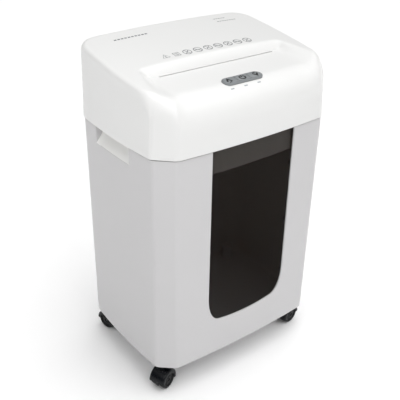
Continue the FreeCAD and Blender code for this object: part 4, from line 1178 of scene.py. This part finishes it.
class MakeMaterials(bpy.types.Operator):
    """Makes the materials, named for the real ones, and gives the kept CAD parts theirs."""
    bl_idname = "shredder.make_materials"
    bl_label = "Materials"

    def execute(self, context):
        colours = context.scene.shredder_colours
        # ABS from a spark-eroded mould: the real grain is 0.1 mm, drawn 1.2 mm wide so that it shows
        surface("moulded_white_abs_head", colours.head, 0.34, grain=1.2, bump=0.06, mottle=0.012, IOR=1.54)
        surface("moulded_white_abs_bin", colours.cabinet, 0.38, grain=1.2, bump=0.08, mottle=0.02, IOR=1.54)
        # The grips' scoops get a whiter, glossier white than the grained walls: painted light, so that these
        # shaded hollows under the head look as brightly lit as the walls round them
        surface("painted_light_white_abs_grips", "#FBFBF9", 0.2, grain=1.2, mottle=0.01, IOR=1.54)
        # Smoke-tinted acrylic sheet: polished faces, and each face lets about half the light through
        surface("smoked_acrylic_pane", colours.pane, 0.08, grain=30, gloss=0.02, mottle=0.1, IOR=1.49,
                Alpha=0.42, **{"Specular IOR Level": 0.02})
        # Polycarbonate keys, satin from a blasted mould, with tampon-printed signs of matt ink
        surface("satin_grey_pc_keys", colours.key, 0.36, grain=0.9, bump=0.08, mottle=0.03, IOR=1.58)
        surface("dark_pad_print", "#0E1012", 0.5, grain=0.5, mottle=0.1)
        surface("grey_pad_print", colours.mark, 0.55, grain=0.5, mottle=0.12)
        # Nylon castors: polished mould, so the hoods mirror the lights; the treads are rubbed satin
        dull = {"IOR": 1.53, "Specular IOR Level": 0.22}
        surface("glossy_black_nylon", colours.castor, 0.28, grain=2.0, bump=0.03, mottle=0.2, **dull)
        surface("satin_black_tread", "#0C0D10", 0.42, grain=0.9, bump=0.1, mottle=0.25, **dull)
        finishes = {
            # Grained grey ABS, duller than the white mouldings, so it reads as an inner part
            "grey_abs": surface("moulded_grey_abs", "#B2AEA9", 0.45, grain=1.0, bump=0.15, IOR=1.54),
            # Zinc plate keeps the rolling lines of its sheet, which streak the highlights
            "zinc_steel": brushed("zinc_plated_steel", "#B9BDC0", 0.34, 0.4, (0.05, 1.0, 1.0)),
            # Ground tool steel has tighter lines and darker, sharper reflections
            "cutter_steel": brushed("ground_cutter_steel", "#8D8F90", 0.28, 0.25, (1.0, 0.2, 0.2)),
            # The pores of sintered bronze make it matt and speckled
            "bearing_bronze": surface("sintered_bronze", "#9A7444", 0.42, grain=0.4, bump=0.3, Metallic=1.0),
            # Moulded acetal is a waxy ivory with a soft sheen
            "nylon_gear": surface("natural_acetal", "#E6E2D4", 0.4, grain=0.8, bump=0.05, IOR=1.48),
            # Frosted light guides are pale grey while their lamps are off
            "light_bar": surface("diffusing_light_guide", "#A3A9AD", 0.3, grain=0.6, IOR=1.49),
            "circuit_board": circuit_laminate(),
            # Glass-filled PBT is an even matt black
            "black_plastic": surface("moulded_black_pbt", "#17181A", 0.42, grain=0.8, bump=0.1, IOR=1.55),
        }
        shared = {"castor_black": "satin_black_tread", "smoked_pane": "smoked_acrylic_pane",
                  "white_abs": "moulded_white_abs_bin", "panel_grey": "satin_grey_pc_keys"}
        for slot, name in shared.items():
            finishes[slot] = bpy.data.materials[name]
        for part in frame["record"]["subparts"]:
            give(frame["nodes"][part["node"]], finishes[part["material_slot"]])
        return {"FINISHED"}


# Stage ------------------------------------------------------------------------------------------

def soft_light(name, place, target, size, energy):
    """A white square area light at a place, turned to its target."""
    data = bpy.data.lights.new(name, "AREA")
    data.size, data.energy = size, energy
    light = bpy.data.objects.new(name, data)
    light.location = place
    light.rotation_euler = (Vector(target) - Vector(place)).to_track_quat("-Z", "Y").to_euler()
    bpy.context.scene.collection.objects.link(light)


def studio_sky(strength, towards):
    """A white tent, brightest above and a little to the front, so that upright faces are a shade darker."""
    world = bpy.data.worlds.new("studio_tent")
    world.use_nodes = True
    tree = world.node_tree
    tree.nodes.clear()
    way = add(tree, "ShaderNodeTexCoord").outputs["Generated"]
    facing = add(tree, "ShaderNodeVectorMath", {0: way, 1: Vector(towards).normalized()},
                 operation="DOT_PRODUCT").outputs["Value"]
    lit = add(tree, "ShaderNodeMath", {0: facing, 1: 0.0}, operation="MAXIMUM")
    glow = add(tree, "ShaderNodeMath", {0: lit, 1: 3.0}, operation="POWER")
    level = add(tree, "ShaderNodeMath", {0: glow, 1: strength}, operation="MULTIPLY")
    # A narrow white wall stands round the floor, so that low views have a pale background too
    height = add(tree, "ShaderNodeSeparateXYZ", {0: way}).outputs["Z"]
    wall = add(tree, "ShaderNodeMapRange", {"Value": height, "From Min": 0.06, "From Max": 0.14,
                                            "To Min": 1.05, "To Max": 0.0})
    level = add(tree, "ShaderNodeMath", {0: level, 1: wall}, operation="MAXIMUM")
    tent = add(tree, "ShaderNodeBackground", {"Color": linear("#FFFFFF"), "Strength": level})
    add(tree, "ShaderNodeOutputWorld", {"Surface": tent})
    return world


class MakeStage(bpy.types.Operator):
    """Sets the camera, the plain pale floor and the soft studio lights."""
    bl_idname = "shredder.make_stage"
    bl_label = "Stage"

    def execute(self, context):
        scene = context.scene
        stage = scene.shredder_stage
        data = bpy.data.cameras.new("main_camera")
        data.lens, data.sensor_width = stage.lens, 36.0
        camera = bpy.data.objects.new("main_camera", data)
        scene.collection.objects.link(camera)
        heading, pitch, roll = stage.heading, stage.pitch, stage.roll
        ahead = Vector((sin(heading) * cos(pitch), cos(heading) * cos(pitch), -sin(pitch)))
        right = Vector((cos(heading), -sin(heading), 0))
        up = right.cross(ahead)
        right, up = right * cos(roll) + up * sin(roll), -right * sin(roll) + up * cos(roll)
        turn = Matrix((right, up, -ahead)).transposed().to_4x4()
        camera.matrix_world = Matrix.Translation(Vector(stage.camera)) @ turn
        scene.camera = camera
        far = 9000
        corners = [(-far, -far, -0.5), (far, -far, -0.5), (far, far, -0.5), (-far, far, -0.5)]
        floor = piece("studio_floor", corners, [(0, 1, 2, 3)])
        give(floor, surface("pale_paper_floor", "#FFFFFF", 0.9, grain=4.0, mottle=0.01))
        middle = (0, 0, 0.35)
        soft_light("left_box", (-1.0, -0.35, 1.0), middle, 0.6, 2.1)
        soft_light("key_box", (-0.25, -0.9, 1.05), middle, 0.5, 1.3)
        scene.world = studio_sky(2.65, (0.2, -0.15, 1.0))
        scene.view_settings.view_transform = "Standard"
        return {"FINISHED"}


# Add-on -----------------------------------------------------------------------------------------

GROUPS = {"shredder_head": ShredderHead, "shredder_bin": ShredderBin, "shredder_castor": ShredderCastor,
          "shredder_panel": ShredderPanel, "shredder_marks": ShredderMarks,
          "shredder_colours": ShredderColours, "shredder_stage": ShredderStage}
STEPS = (MakeMaterials, MakeHead, MakeBin, MakeCastors, MakePanel, MakeMarks, MakeScrews, MakeStage)


class ShredderSidebar(bpy.types.Panel):
    """Sizes, colours and one button for each piece."""
    bl_idname = "VIEW3D_PT_shredder"
    bl_label = "Paper Shredder"
    bl_space_type = "VIEW_3D"
    bl_region_type = "UI"
    bl_category = "Shredder"

    def draw(self, context):
        for name, group in GROUPS.items():
            box = self.layout.box()
            for prop in group.__annotations__:
                box.prop(getattr(context.scene, name), prop)
        for step in STEPS:
            self.layout.operator(step.bl_idname)


CLASSES = (*GROUPS.values(), *STEPS, ShredderSidebar)


def register():
    for cls in CLASSES:
        bpy.utils.register_class(cls)
    for name, group in GROUPS.items():
        setattr(bpy.types.Scene, name, PointerProperty(type=group))


def unregister():
    for name in GROUPS:
        delattr(bpy.types.Scene, name)
    for cls in reversed(CLASSES):
        bpy.utils.unregister_class(cls)


def main():
    register()
    for step in STEPS:
        area, action = step.bl_idname.split(".")
        getattr(getattr(bpy.ops, area), action)()


if __name__ == "__main__":
    main()
